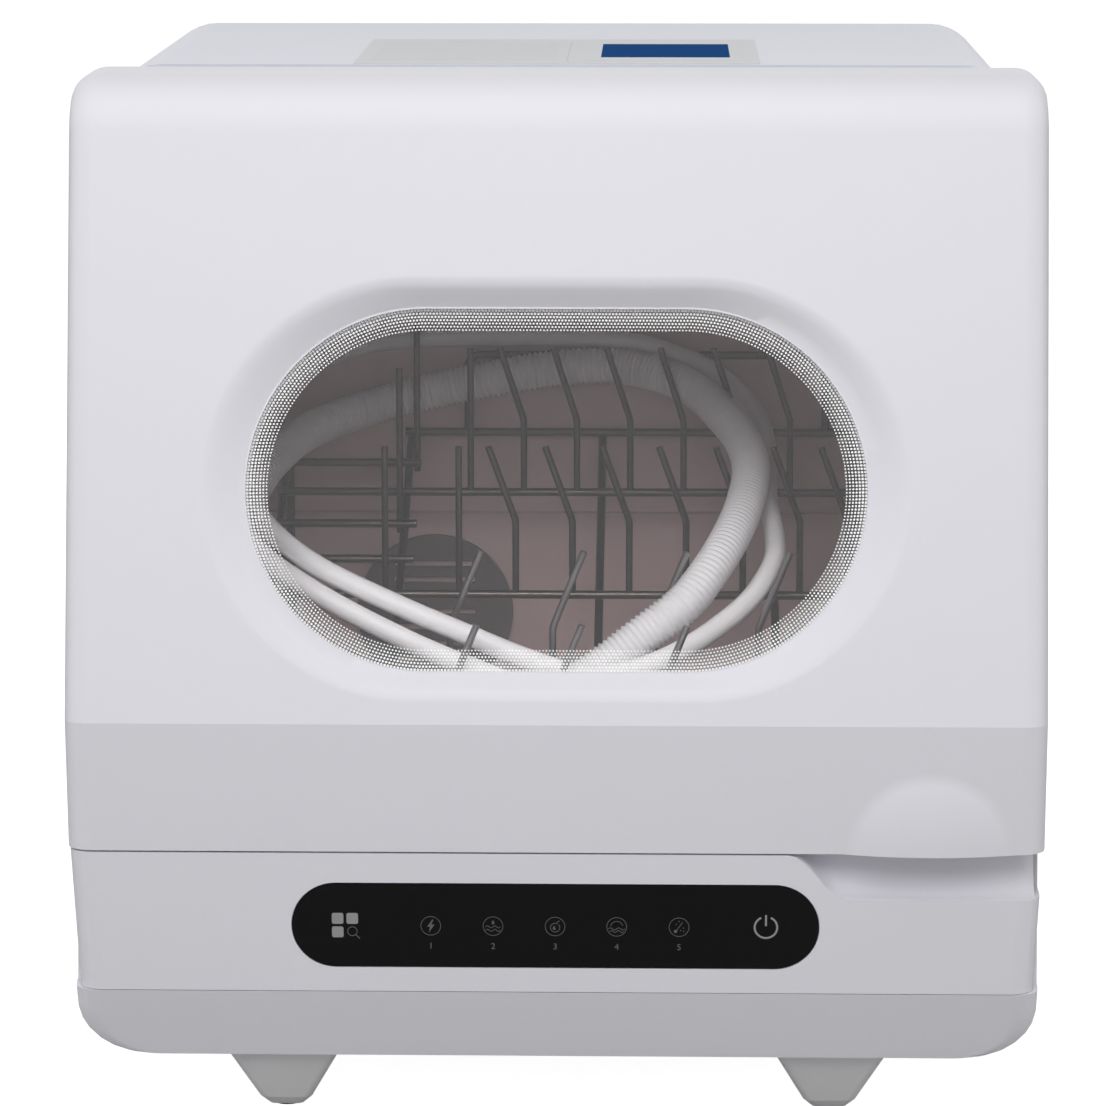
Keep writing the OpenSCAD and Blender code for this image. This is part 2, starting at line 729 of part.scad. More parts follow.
// Two-bladed spray arm with its jets
module spray_arm() {
    low = tub_floor_z + 2.5 + 2 * run;
    color("lightsteelblue") difference() {
        union() {
            translate([0, 0, low]) cylinder(h = 11.5 - 4 * run, r = 15);
            for (a = [0, 180]) rotate([0, 0, a + 20]) translate([0, 0, low + 1.5])
                linear_extrude(height = 8) polygon(blade(spray_reach));
        }
        translate([0, 0, low - cut]) cylinder(h = 20, r = spray_pin_r + run);
        for (a = [0, 180], i = [0 : 4]) rotate([0, 0, a + 20]) translate([30 + 17 * i, (i % 2) * 4 - 2, low + 7.5])
            cylinder(h = 5, r = 1.4);
    }
}

// Cap nut that keeps the spray arm on its post
module spray_nut() {
    color("lightsteelblue") translate([0, 0, tub_floor_z + 14]) difference() {
        cylinder(h = 3, r = 9);
        translate([0, 0, -cut]) cylinder(h = 6, r = 2.5);
    }
}

// Wash pump: volute casing on two legs, hollow for its impeller
module wash_pump_casing() {
    y = sump_c[1];
    color("dimgray") difference() {
        union() {
            translate([pump_x, y, pump_z]) rotate([0, 90, 0]) cylinder(h = pump_w, r = pump_r);
            translate([outlet_x, y + 14, feed_z]) rotate([-90, 0, 0]) cylinder(h = outlet_y - y - 14, r = 8);
            for (s = [-1, 1]) translate([pump_x + 5, y + s * 14 - 4, base_z + wall])
                cube([14, 8, pump_z - base_z - wall - 12]);
        }
        translate([pump_x + 2.5, y, pump_z]) rotate([0, 90, 0]) cylinder(h = pump_w - 5, r = pump_r - 3);
        translate([pump_x - cut, y, pump_z + 6]) rotate([0, 90, 0]) cylinder(h = 6, r = 7);
        translate([outlet_x, y + 12, feed_z]) rotate([-90, 0, 0]) cylinder(h = 60, r = 5.5);
        translate([pump_x + pump_w - 4, y, pump_z]) rotate([0, 90, 0]) cylinder(h = 6, r = 3 + run);
    }
}
outlet_x = pump_x + 6;
outlet_y = -14;

// Wash pump impeller with its shaft stub
module wash_impeller() {
    color("ivory") translate([pump_x + 4, sump_c[1], pump_z]) rotate([0, 90, 0]) {
        translate([0, 0, 12]) cylinder(h = 3, r = 20);
        cylinder(h = 12.5, r = 5);
        for (i = [0 : 5]) rotate([0, 0, 60 * i]) translate([4, -1, 5]) cube([15, 2, 8]);
        translate([0, 0, 14]) cylinder(h = pump_w - 16, r = 3);
    }
}

module wash_motor() {
    color("silver") translate([pump_x + pump_w, sump_c[1], pump_z]) rotate([0, 90, 0]) difference() {
        union() {
            cylinder(h = 34, r = 24);
            translate([0, 0, 34]) cylinder(h = 4, r = 12);
        }
        translate([0, 0, -cut]) cylinder(h = 5, r = 5);
    }
}

// Feed pipe from the wash pump to the spray post
module wash_pipe() {
    color("white") translate([0, 0, feed_z])
        bent_tube([[outlet_x, outlet_y], [outlet_x, 0], [feed_x, 0]], 12, 8, 5.5);
}

// Drain pump with its inlet boss
module drain_pump_casing() {
    color("dimgray") difference() {
        union() {
            translate([drain_c[0], drain_y[0], drain_c[1]]) rotate([-90, 0, 0])
                cylinder(h = drain_y[1] - drain_y[0], r = drain_r);
            translate([drain_c[0], sump_c[1], pump_z + 2]) rotate([0, 90, 0]) cylinder(h = 26, r = 9);
            translate([drain_c[0] - 34, sump_c[1], drain_c[1]]) rotate([0, 90, 0]) cylinder(h = 30, r = 7);
            translate([drain_c[0] - 5, sump_c[1] - 4, base_z + wall]) cube([10, 8, 16]);
        }
        translate([drain_c[0], drain_y[0] + 3, drain_c[1]]) rotate([-90, 0, 0])
            cylinder(h = drain_y[1] - drain_y[0] - 6, r = drain_r - 3);
        translate([drain_c[0] + 8, sump_c[1], pump_z + 2]) rotate([0, 90, 0]) cylinder(h = 30, r = 7.1);
        translate([drain_c[0] - 36, sump_c[1], drain_c[1]]) rotate([0, 90, 0]) cylinder(h = 22, r = 5);
        translate([drain_c[0], drain_y[1] - 5, drain_c[1]]) rotate([-90, 0, 0]) cylinder(h = 8, r = 2.5 + run);
    }
}

module drain_impeller() {
    color("ivory") translate([drain_c[0], drain_y[0] + 5, drain_c[1]]) rotate([-90, 0, 0]) {
        for (i = [0 : 3]) rotate([0, 0, 45 + 90 * i]) translate([-1, 2, 1]) cube([2, 11, 9]);
        cylinder(h = 12, r = 4);
        translate([0, 0, 11]) cylinder(h = drain_y[1] - drain_y[0] - 14, r = 2.5);
    }
}

module drain_motor() {
    color("silver") translate([drain_c[0], drain_y[1], drain_c[1]]) rotate([-90, 0, 0]) difference() {
        cylinder(h = 34, r = 17);
        translate([0, 0, -cut]) cylinder(h = 4, r = 4);
    }
}

// Pipe from the drain pump to the rear spigot
drain_x = drain_c[0] - 50;
drain_end_y = rear_y - 46;
module drain_pipe() {
    x0 = drain_c[0] - 34;
    color("white") translate([0, 0, drain_c[1]])
        bent_tube([[x0, sump_c[1]], [drain_x, sump_c[1]], [drain_x, drain_end_y]], 14, 7, 5);
}

// Rear drain spigot on its flange, with the chamber that the drain pipe enters
module drain_spigot() {
    z = drain_c[1];
    low = z - 9;
    color("gray") difference() {
        union() {
            translate([port_x, rear_y - wall - 3, port_z]) rotate([-90, 0, 0]) cylinder(h = 3, r = spigot_r + 6);
            translate([port_x, rear_y - 1, port_z]) rotate([-90, 0, 0])
                cylinder(h = port_out + 1, r = spigot_r);
            translate([port_x - 10, rear_y - 40, low]) cube([drain_x - port_x + 19, 26, port_z + 10 - low]);
            translate([port_x, rear_y - 20, port_z]) rotate([-90, 0, 0]) cylinder(h = 20, r = spigot_neck);
            translate([drain_x, drain_end_y, z]) rotate([-90, 0, 0]) cylinder(h = 8, r = 8);
        }
        translate([port_x - 8, rear_y - 38, low + 2]) cube([drain_x - port_x + 15, 22, port_z + 6 - low]);
        translate([port_x, rear_y - 36, port_z]) rotate([-90, 0, 0]) cylinder(h = 90, r = spigot_r - 2.5);
        translate([drain_x, drain_end_y - cut, z]) rotate([-90, 0, 0]) cylinder(h = 12, r = 5);
    }
}

// Water tank with rounded corners and its filler neck
module water_tank() {
    color("lightcyan") translate([tank_x, tank_y, base_z + wall]) difference() {
        union() {
            linear_extrude(height = tank_h) polygon(round_rect(tank_half, -tank_l, tank_l, 14));
            translate([0, neck_y, tank_h]) cylinder(h = 5, r = 16);
        }
        translate([0, 0, 2]) linear_extrude(height = tank_h - 4)
            polygon(round_rect(tank_half - 2, 2 - tank_l, tank_l - 2, 12));
        translate([0, neck_y, tank_h - 5]) cylinder(h = 20, r = 13);
        translate([tank_half - 5, neck_y, port_z - base_z - wall]) rotate([0, 90, 0]) cylinder(h = 10, r = 3);
    }
}
tank_x = -122;
// The tank lies between the power board and the drain chamber
tank_front = -40;
tank_rear = rear_y - 56;
tank_l = (tank_rear - tank_front) / 2;
tank_y = tank_front + tank_l;
neck_y = tank_l - 20;
tank_half = 58;
tank_h = 66;

// Pipe from the inlet valve to the tank
module fill_pipe() {
    color("white") translate([0, 0, port_z])
        bent_tube([[valve_x, rear_y - 46], [valve_x, tank_y + neck_y], [tank_x + tank_half, tank_y + neck_y]], 12, 4.5, 3);
}

// Inlet valve with a push-in port for the supply tube
module inlet_valve() {
    color("gray") difference() {
        union() {
            translate([valve_x, rear_y - wall - 26, port_z]) rotate([-90, 0, 0]) cylinder(h = 26, r = 14);
            translate([valve_x, rear_y - wall - 1, port_z]) rotate([-90, 0, 0])
                cylinder(h = port_out + wall + 1, r = valve_r);
            translate([valve_x - 14, rear_y - 46, port_z - 14]) cube([28, 18, 28]);
        }
        translate([valve_x, rear_y + port_out - 16, port_z]) rotate([-90, 0, 0]) cylinder(h = 30, r = 4.85);
        translate([valve_x, rear_y - 50, port_z]) rotate([-90, 0, 0]) cylinder(h = 60, r = 3);
    }
}

// Gland that the mains lead would pass through
module cord_gland() {
    color("dimgray") difference() {
        union() {
            translate([gland_x, rear_y, port_z]) rotate([-90, 0, 0]) cylinder(h = 5, r = gland_r + 4);
            translate([gland_x, rear_y - wall - 8, port_z]) rotate([-90, 0, 0]) cylinder(h = 10 + wall, r = gland_r);
        }
        translate([gland_x, rear_y - 20, port_z]) rotate([-90, 0, 0]) cylinder(h = 40, r = 3.6);
    }
}

// Power board on its four posts, with relay, capacitor and terminal blocks
module power_board() {
    top = board_t;
    color("darkgreen") translate([-182, -156, base_z + board_lift]) {
        cube([106, 82, top]);
        translate([14, 16, top]) cube([22, 16, 15]);
        translate([54, 26, top]) cylinder(h = 22, r = 9);
        translate([74, 16, top]) cube([26, 12, 12]);
        translate([20, 51, top]) cube([60, 20, 10]);
    }
}
// Height of the power board's posts over the tray's underside
board_lift = 14;

// Lock box behind the frame, with the pocket that the door's hook enters
module door_lock() {
    color("darkslategray") on_parting(lock_z) difference() {
        translate([lock_x - 8.5, -11, -frame_gap - frame_t - 20]) cube([17, 20, 20]);
        translate([lock_x - 5, -8, -frame_gap - frame_t - 17]) cube([10, 14, 30]);
    }
}

// Hinge brackets that stand on the frame's ledge
module hinge_brackets() {
    ledge_z = hinge_z - hinge_bar_r - 4;
    color("silver") for (x = [-1, 1] * hinge_x) difference() {
        union() {
            translate([x - 5, hinge_y, hinge_z]) rotate([0, 90, 0]) cylinder(h = 10, r = 6);
            translate([x - 5, hinge_y - 4, ledge_z]) cube([10, 10, hinge_z - ledge_z]);
            translate([x - 5, hinge_y - 4, ledge_z]) cube([10, housing_front_y - hinge_y + 3.7, 3]);
        }
        translate([x - 20, hinge_y, hinge_z]) rotate([0, 90, 0]) cylinder(h = 40, r = pin_r + run);
    }
}

module hinge_pins() {
    color("silver") for (x = [-1, 1] * hinge_x) translate([x - 15, hinge_y, hinge_z]) rotate([0, 90, 0])
        cylinder(h = 30, r = pin_r);
}

// Countersunk-look screws that hold the rear panel
module housing_screws() {
    color("gray") for (x = [-1, 1] * 150, z = [180, 400]) translate([x, rear_y - 0.5, z]) rotate([-90, 0, 0])
        cylinder(h = 1.6, r1 = 3.4, r2 = 2.6);
}

// Clear film left on the housing's top
module top_label() {
    color("lightblue") translate([-2 - label_w / 2, housing_front_y + 4, top_z])
        cube([label_w, label_l, label_t]);
}

label_w = 180;
label_l = 148;
label_t = 0.3;

// Door cover: curved shell with the window surround, screw bosses and finger bulge
module door_shell() {
    color("white") difference() {
        union() {
            difference() {
                intersection() {
                    door_form(0);
                    front_of_parting(0, door_z);
                }
                difference() {
                    intersection() {
                        door_form(wall);
                        front_of_parting(cut, door_z + wall);
                    }
                    on_door_face() translate([0, window_up, 0]) loft([
                        track_points(glass_half, glass_r + 7.5, -lip_n),
                        track_points(glass_half, glass_r + 7.5, -surround_deep + 1),
                        track_points(glass_half + surround_side - surround_top, glass_r + surround_top + 5, 1)]);
                    for (p = boss_places) on_door_face() translate([p[0], p[1], -door_t + liner_in + liner_t])
                        cylinder(h = door_t - liner_in - liner_t, r = 4, $fn = 32);
                }
            }
            finger_bulge();
        }
        on_door_face() translate([0, window_up, 0]) {
            loft([track_points(glass_half, glass_r + 0.5, -surround_deep),
                track_points(glass_half + (surround_side - surround_top) * 0.5, glass_r + surround_top * 0.5,
                    -surround_deep * 0.55),
                track_points(glass_half + surround_side - surround_top, glass_r + surround_top - 1.5, -1.5),
                track_points(glass_half + surround_side - surround_top, glass_r + surround_top + 1, 0),
                track_points(glass_half + surround_side - surround_top, glass_r + surround_top + 4, 1.5)]);
            translate([0, 0, -lip_n - cut]) racetrack(glass_half, glass_r, lip_n);
        }
        for (p = boss_places) on_door_face() translate([p[0], p[1], -door_t]) cylinder(h = 18, r = 1.6);
    }
}
// Screw bosses of the door: across and up from the crease line
boss_places = [[-188, 235], [188, 235], [-188, 100], [188, 100], [-188, -10], [188, -10]];

// Domed bulge over the finger notch
module finger_bulge() {
    dome_r = (bulge_r * bulge_r + bulge_out * bulge_out) / (2 * bulge_out);
    intersection() {
        translate([bulge_x, door_low_y, door_z]) rotate([90 + under_lean, 0, 0])
            translate([0, 0, bulge_out - dome_r]) sphere(dome_r, $fn = 360);
        translate([bulge_x, door_low_y, door_z]) rotate([90 + under_lean, 0, 0])
            translate([-bulge_r * 2, 0, -1]) cube([bulge_r * 4, bulge_r * 2, 20]);
        translate([bulge_x - 2 * bulge_r, front_y - 40, door_z]) cube([4 * bulge_r, 80, 2 * bulge_r]);
    }
}

// Inner door panel with the tunnel that frames the glass
module door_liner() {
    color("whitesmoke") difference() {
        union() {
            intersection() {
                door_form(wall + fit);
                front_of_parting(-liner_in, door_z + wall + fit);
                behind_parting(-liner_in - liner_t);
                translate([-body_w, -body_d, 0]) cube([2 * body_w, 2 * body_d, hinge_z - 3]);
            }
            on_door_face() translate([0, window_up, -door_t + liner_in + 1])
                racetrack_ring(glass_half, glass_r + 2, glass_r + 4.5, door_t - liner_in - 1 - lip_n - gasket_t - 0.2);
            on_door_face() translate([0, window_up, -lip_n - gasket_t - 2.2])
                racetrack_ring(glass_half, glass_r + 1, glass_r + 7, 2);
        }
        on_door_face() translate([0, window_up, -door_t]) racetrack(glass_half, glass_r + 2, door_t - 30);
        for (p = boss_places) on_door_face() translate([p[0], p[1], -door_t]) cylinder(h = 18, r = 1.8);
    }
}

// Curved-edge glass, held in the gasket
module door_glass() {
    color("dimgray", 0.6) on_door_face() translate([0, window_up, -glass_n - glass_t])
        racetrack(glass_half, glass_r + 4.5, glass_t);
}

// Rubber channel round the edge of the glass
module window_gasket() {
    color("black") on_door_face() translate([0, window_up, -lip_n - 0.1 - gasket_t]) {
        racetrack_ring(glass_half, glass_r + 1.5, glass_r + 7, gasket_lip);
        translate([0, 0, gasket_lip]) racetrack_ring(glass_half, glass_r + 4.6, glass_r + 7, gasket_t - 2 * gasket_lip);
        translate([0, 0, gasket_t - gasket_lip]) racetrack_ring(glass_half, glass_r + 1.5, glass_r + 7, gasket_lip);
    }
}

// Seal that meets the frame round the tub's mouth
module door_seal() {
    low = mouth_low + 5;
    high = mouth_high - 3;
    mid = (low + high) / 2;
    tall = (high - low) / cos(door_lean) / 2;
    color("gray") on_parting(mid) translate([0, 0, -frame_gap + fit]) difference() {
        linear_extrude(height = liner_in + frame_gap - 2 * fit)
            polygon(round_rect(mouth_w / 2 + 11, -tall - 11, tall + 11, tub_r));
        translate([0, 0, -cut]) linear_extrude(height = 20)
            polygon(round_rect(mouth_w / 2 + 5, -tall - 5, tall + 5, tub_r - 6));
    }
}

// Hinge bar under the rear edge of the door's top
module hinge_bar() {
    color("white") difference() {
        union() {
            translate([-body_w / 2 + 16, hinge_y, hinge_z]) rotate([0, 90, 0])
                cylinder(h = body_w - 32, r = hinge_bar_r);
            translate([-body_w / 2 + 16, hinge_y - 26, top_z - wall - 3]) cube([body_w - 32, 22, 3]);
        }
        translate([-body_w, hinge_y - 60, top_z - wall]) cube([2 * body_w, 60 - 3.7, 20]);
        for (x = [-1, 1] * hinge_x) translate([x - 5.5, hinge_y - 12, hinge_z - 20]) cube([11, 40, 40]);
        for (x = [-1, 1] * hinge_x) translate([x - 20, hinge_y, hinge_z]) rotate([0, 90, 0])
            cylinder(h = 40, r = pin_r + run);
    }
}

// Hook that enters the lock
module door_hook() {
    color("gray") on_parting(lock_z) {
        translate([lock_x - 3, -4, liner_in - 18]) cube([6, 6, 18]);
        translate([lock_x - 3, -6, liner_in - 18]) cube([6, 10, 3]);
        translate([lock_x - 7, -8, liner_in - 2]) cube([14, 14, 2]);
    }
}

module door_screws() {
    color("silver") for (p = boss_places) on_door_face() translate([p[0], p[1], -door_t + liner_in]) {
        translate([0, 0, -1.8]) cylinder(h = 1.8, r = 3);
        cylinder(h = 12, r = 1.5);
    }
}

// Rod across the bed, sitting on the long wires
module bed_rod(y, x0, x1, lift) {
    translate([x0, y, bed_at(y) - rod_lift + lift]) rotate([0, 90, 0])
        cylinder(h = x1 - x0, r = frame_r, $fn = 24);
}

// Welded frame: side loops, long wires, cross rods, cutlery bay and rear fence
module rack_frame() {
    low = bed_at(0) - rod_lift;
    sit = (frame_wire - weld) / cos(bed_slope);
    function wire_at(y) = low + y * tan(bed_slope);
    color("gray") {
        for (x = [-1, 1] * rack_half) translate([x, 0, 0]) rotate([90, 0, 90])
            bent_wire([[rack_front_y, rail_z], [rack_back_y + 3, rail_z],
                [rack_back_y + 3, wire_at(rack_back_y + 3)], [rack_front_y, wire_at(rack_front_y)]],
                3, frame_r, true);
        for (x = aisle_x) translate([x, rack_front_y, wire_at(rack_front_y)])
            rotate([90 - bed_slope, 0, 180]) translate([0, 0, -1.5])
                cylinder(h = (rack_back_y - rack_front_y + 3) / cos(bed_slope) + 1.5, r = frame_r, $fn = 24);
        bed_rod(rack_front_y + 3, -rack_half, rack_half, sit);
        bed_rod(rack_back_y, aisle_x[0] - 3, rack_half, sit);
        for (y = [98, 52, 26]) bed_rod(y, -rack_half, aisle_x[0] + 6, sit);
        translate([0, rack_back_y, 0]) rotate([90, 0, 0])
            bent_wire([[-50, bed_at(rack_back_y)], [-50, 297], [125, 297], [125, bed_at(rack_back_y)]], 6, frame_r);
        for (p = [[-84, 52, 300], [-78, 98, 330]]) translate([p[0] + 4, p[1] + 1.5, bed_at(p[1]) - 5])
            cylinder(h = p[2] - bed_at(p[1]) + 5, r = tine_r, $fn = 24);
    }
}

// Row of tines on one rod: straight at the foot, then leaning by an angle
module tine_row(y, places, straight, lean) {
    z = bed_at(y);
    knee = tine_h * 0.5;
    color("gray") translate([0, y, z]) {
        translate([-rack_half - 2, 0, 0]) rotate([0, 90, 0]) cylinder(h = 2 * rack_half + 4, r = frame_r, $fn = 24);
        for (x = straight) translate([x, 0, 0]) cylinder(h = tine_h, r = tine_r, $fn = 24);
        for (x = places) rotate([90, 0, 0]) bent_wire([[x, 0], [x, knee],
            [x - (tine_h - knee) * tan(lean), tine_h]], 10, tine_r);
    }
}

module tine_row_back() {
    tine_row(row_back_y, [for (i = [1 : 6]) -47 + 25.6 * i], [-47], 18);
}

module tine_row_middle() {
    tine_row(row_middle_y, [for (i = [1 : 7]) i < 7 ? -49.5 + 26.5 * i : 131.8], [-84, -49.5], 20);
}

module tine_row_front() {
    tine_row(row_front_y, [for (i = [0 : 3]) -50.5 + 46.5 * i], [], -22);
}

module tine_row_low() {
    tine_row(row_low_y, [for (i = [0 : 3]) -50.5 + 46.5 * i], [], -22);
}

// Four nylon glides clipped on the rack's lower rails
module rack_glides() {
    color("white") for (s = [-1, 1], y = [-95, 85]) translate([s * rack_half, y, rail_z]) difference() {
        translate([-4, -9, -4.9]) cube([8, 18, 7.7]);
        translate([0, -20, 0]) rotate([-90, 0, 0]) cylinder(h = 40, r = frame_r + run);
    }
}

// Point between b and c of the smooth curve through a, b, c and d
function spline_point(a, b, c, d, t) = (2 * b + (c - a) * t + (2 * a - 5 * b + 4 * c - d) * t * t
    + (3 * b - a - 3 * c + d) * t * t * t) / 2;

// Smooth curve through the points of a route
function smooth(route, steps = 12) = let (n = len(route) - 1,
    far = concat([2 * route[0] - route[1]], route, [2 * route[n] - route[n - 1]]))
    [for (i = [1 : n], k = [0 : steps - 1])
        spline_point(far[i - 1], far[i], far[i + 1], far[i + 2], k / steps), route[n]];

// Length of a line of points up to each of them
function lengths(p) = [for (i = 0, s = 0; i < len(p);
    s = s + (i + 1 < len(p) ? norm(p[i + 1] - p[i]) : 0), i = i + 1) s];

// The same line in equal steps
function evenly(p, count) = let (s = lengths(p), all = s[len(s) - 1],
    line = [for (axis = [0 : 2]) [for (i = [0 : len(p) - 1]) [s[i], p[i][axis]]]])
    [for (k = [0 : count]) [for (axis = [0 : 2]) lookup(all * k / count, line[axis])]];

// Ring of points square to a line at its point i
function ring(p, i, r, sides) = let (last = len(p) - 1,
    along = p[min(i + 1, last)] - p[max(i - 1, 0)],
    d = along / norm(along), side = cross(d, [0, 0, 1]), u = side / norm(side), v = cross(d, u))
    [for (k = [0 : sides - 1]) let (a = 360 * k / sides) p[i] + r * (cos(a) * u + sin(a) * v)];

// Hollow tube between outer and inner rings of equal point count
module hollow_tube(outer, inner) {
    count = len(outer[0]);
    far = (len(outer) - 1) * count;
    start = len(outer) * count;
    far_in = start + (len(inner) - 1) * count;
    function skin(from, rows) = [for (k = [0 : rows - 2]) for (i = [0 : count - 1])
        let (a = from + k * count + i, b = from + k * count + (i + 1) % count)
        each [[a, b + count, b], [a, a + count, b + count]]];
    function lip(a, b) = [for (i = [0 : count - 1]) let (j = (i + 1) % count)
        each [[a + i, a + j, b + j], [a + i, b + j, b + i]]];
    function flip(faces) = [for (f = faces) [f[2], f[1], f[0]]];
    polyhedron(points = [for (rings = [outer, inner]) for (r = rings) for (p = r) p],
        faces = concat(skin(0, len(outer)), flip(skin(start, len(inner))),
            lip(0, start), flip(lip(far, far_in))), convexity = 10);
}

// Least gap between stretches of a line that lie further apart along it than a few diameters
function least_gap(p, d) = let (step = lengths(p)[1], skip = ceil(4 * d / step))
    min([for (i = [0 : len(p) - 1], j = [i + skip : 1 : len(p) - 1]) norm(p[i] - p[j])]) - d;

// Route of the drain hose, stowed in the chamber: along the bed, up between the tines, round the back
hose_route = [[-158, -104, 160.5], [-130, -104, 160], [-100, -104, 159.8], [-72, -103, 159.5],
    [-46, -101, 160.5], [-24, -99, 165], [-3, -97.5, 173.5], [17, -95.5, 185.5], [36, -92.5, 199.5],
    [55.5, -86, 213.7], [69, -70.5, 228.5], [78.5, -48, 241], [84.5, -22, 252], [86.4, 4, 261.5],
    [82.5, 31, 270], [74, 54, 277.5], [64.5, 75, 284], [52, 92.5, 289], [33.5, 104.5, 292.5],
    [11, 109, 293.5], [-18, 110, 290.5], [-47, 110, 285], [-76, 111.3, 278.5], [-103, 104, 271.5],
    [-125, 86, 265], [-138, 58, 258], [-146, 24, 250], [-150, -12, 240.5], [-151.5, -50, 229],
    [-151, -82, 216.5], [-149, -112, 203]];

// Ribbed drain hose with smooth end cuffs
module drain_hose() {
    line = evenly(smooth(hose_route), 2 * rib_count);
    total = lengths(line)[2 * rib_count];
    step = total / (2 * rib_count);
    echo(str("Drain hose: length ", round(total), " mm, least gap to itself ", least_gap(line, hose_d), " mm"));
    function radius(i) = i % 2 == 1 || min(i, 2 * rib_count - i) * step < cuff_l ? hose_d / 2
        : hose_d / 2 - rib_deep;
    bore_line = evenly(line, rib_count / 2);
    color("white") hollow_tube([for (i = [0 : 2 * rib_count]) ring(line, i, radius(i), 8)],
        [for (i = [0 : len(bore_line) - 1]) ring(bore_line, i, hose_bore / 2 - rib_deep, 8)]);
}

// Route of the supply tube: one turn and a half of a loose loop round the chamber
tube_route = [[88, -102, 156], [62, -106, 158.5], [34, -111.5, 164], [6, -113.5, 172], [-20, -113, 181.5],
    [-56, -110.5, 195.5], [-85, -106.5, 208.5], [-112, -99, 222], [-136, -80, 235], [-149, -52, 247],
    [-153, -15, 258], [-152, 25, 269], [-145, 62, 281], [-126, 98, 294], [-95, 117, 303.5],
    [-50, 122, 306], [0, 120, 306], [30, 116.5, 304], [52, 113.5, 298.5], [72, 109, 289.5],
    [86, 98, 279], [93, 80, 269], [95, 55, 259], [94.7, 28, 251], [94.5, 0, 243.5], [97, -27, 235],
    [96, -50, 226], [86, -68, 213], [70, -84, 202], [52, -99.5, 193.5], [31, -110.5, 187.5],
    [8, -112.5, 186.5], [-16, -107, 192.5], [-44, -102, 203], [-74, -98, 215], [-110, -91.5, 231.5],
    [-134, -71, 246.5], [-145, -42, 259], [-149, -5, 272], [-147, 35, 284.5], [-139, 70, 296],
    [-122, 97, 306.5], [-97, 111, 315]];

module inlet_tube() {
    line = evenly(smooth(tube_route), 110);
    echo(str("Supply tube: length ", round(lengths(line)[110]), " mm, least gap to itself ",
        least_gap(line, tube_d), " mm"));
    bore_line = evenly(line, 70);
    color("white") hollow_tube([for (i = [0 : len(line) - 1]) ring(line, i, tube_d / 2, 6)],
        [for (i = [0 : len(bore_line) - 1]) ring(bore_line, i, tube_bore / 2, 6)]);
}

base_tray();
feet();
foot_pads();
front_fascia();
control_lens();
control_board();
housing_shell();
rear_panel();
front_frame();
tub();
rack_runners();
wall_vent_cap();
sump();
filter_plate();
filter_cup();
heater_tube();
spray_post();
spray_arm();
spray_nut();
wash_pump_casing();
wash_impeller();
wash_motor();
wash_pipe();
drain_pump_casing();
drain_impeller();
drain_motor();
drain_pipe();
drain_spigot();
water_tank();
fill_pipe();
inlet_valve();
cord_gland();
power_board();
door_lock();
hinge_brackets();
hinge_pins();
housing_screws();
top_label();
door_shell();
door_liner();
door_glass();
window_gasket();
door_seal();
hinge_bar();
door_hook();
door_screws();
rack_frame();
tine_row_back();
tine_row_middle();
tine_row_front();
tine_row_low();
rack_glides();
drain_hose();
inlet_tube();
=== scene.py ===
# %% [markdown]
# A countertop dishwasher is dressed here around its finished CAD parts. The CAD model is loaded first
# and stays fixed. Everything below is in metres, with the door towards -Y and up towards +Z. The sizes
# and places of the machine are written in millimetres, because that is how such a machine is drawn, and
# MM turns them into metres.

# %% Load the fixed frame
import json
import math

import bmesh
import bpy
from mathutils import Matrix, Vector

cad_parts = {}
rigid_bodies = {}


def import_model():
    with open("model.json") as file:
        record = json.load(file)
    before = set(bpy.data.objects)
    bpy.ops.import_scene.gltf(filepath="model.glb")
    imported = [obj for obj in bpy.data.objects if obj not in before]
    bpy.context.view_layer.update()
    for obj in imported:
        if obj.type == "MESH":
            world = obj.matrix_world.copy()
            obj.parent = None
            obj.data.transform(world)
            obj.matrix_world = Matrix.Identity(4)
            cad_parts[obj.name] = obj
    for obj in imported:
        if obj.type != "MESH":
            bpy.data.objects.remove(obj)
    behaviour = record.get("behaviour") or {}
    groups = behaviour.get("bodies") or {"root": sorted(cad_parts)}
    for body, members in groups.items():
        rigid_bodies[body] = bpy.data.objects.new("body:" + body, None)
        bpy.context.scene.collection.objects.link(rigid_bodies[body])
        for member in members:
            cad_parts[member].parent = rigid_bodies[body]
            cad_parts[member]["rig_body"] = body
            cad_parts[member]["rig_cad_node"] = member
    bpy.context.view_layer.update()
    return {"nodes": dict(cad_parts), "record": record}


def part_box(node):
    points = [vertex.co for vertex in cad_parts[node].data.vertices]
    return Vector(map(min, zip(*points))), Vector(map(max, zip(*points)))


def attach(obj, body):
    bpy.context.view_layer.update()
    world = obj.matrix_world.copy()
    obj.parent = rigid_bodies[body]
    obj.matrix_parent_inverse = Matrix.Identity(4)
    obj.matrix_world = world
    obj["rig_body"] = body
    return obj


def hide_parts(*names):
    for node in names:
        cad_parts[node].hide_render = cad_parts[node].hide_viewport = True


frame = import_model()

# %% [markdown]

MM = 0.001
NODES = frame["nodes"]

# %% [markdown]
# The camera comes first. It stands a good two metres away with a long lens, so the sides hardly
# converge, and a little higher than the machine's top, looking down. The numbers were found by fitting
# the outline of the body, and the small turn and roll belong to the fit. The picture is square.

# %% Camera
PICTURE = 1106
CAMERA_AT = Vector((45.89, -2158.6, 613.4)) * MM
CAMERA_TURN, CAMERA_DOWN, CAMERA_ROLL = math.radians(1.367), math.radians(10.311), math.radians(-0.022)
FOCAL_PIXELS = 4697.4
SENSOR, FAR_END = 36, 30

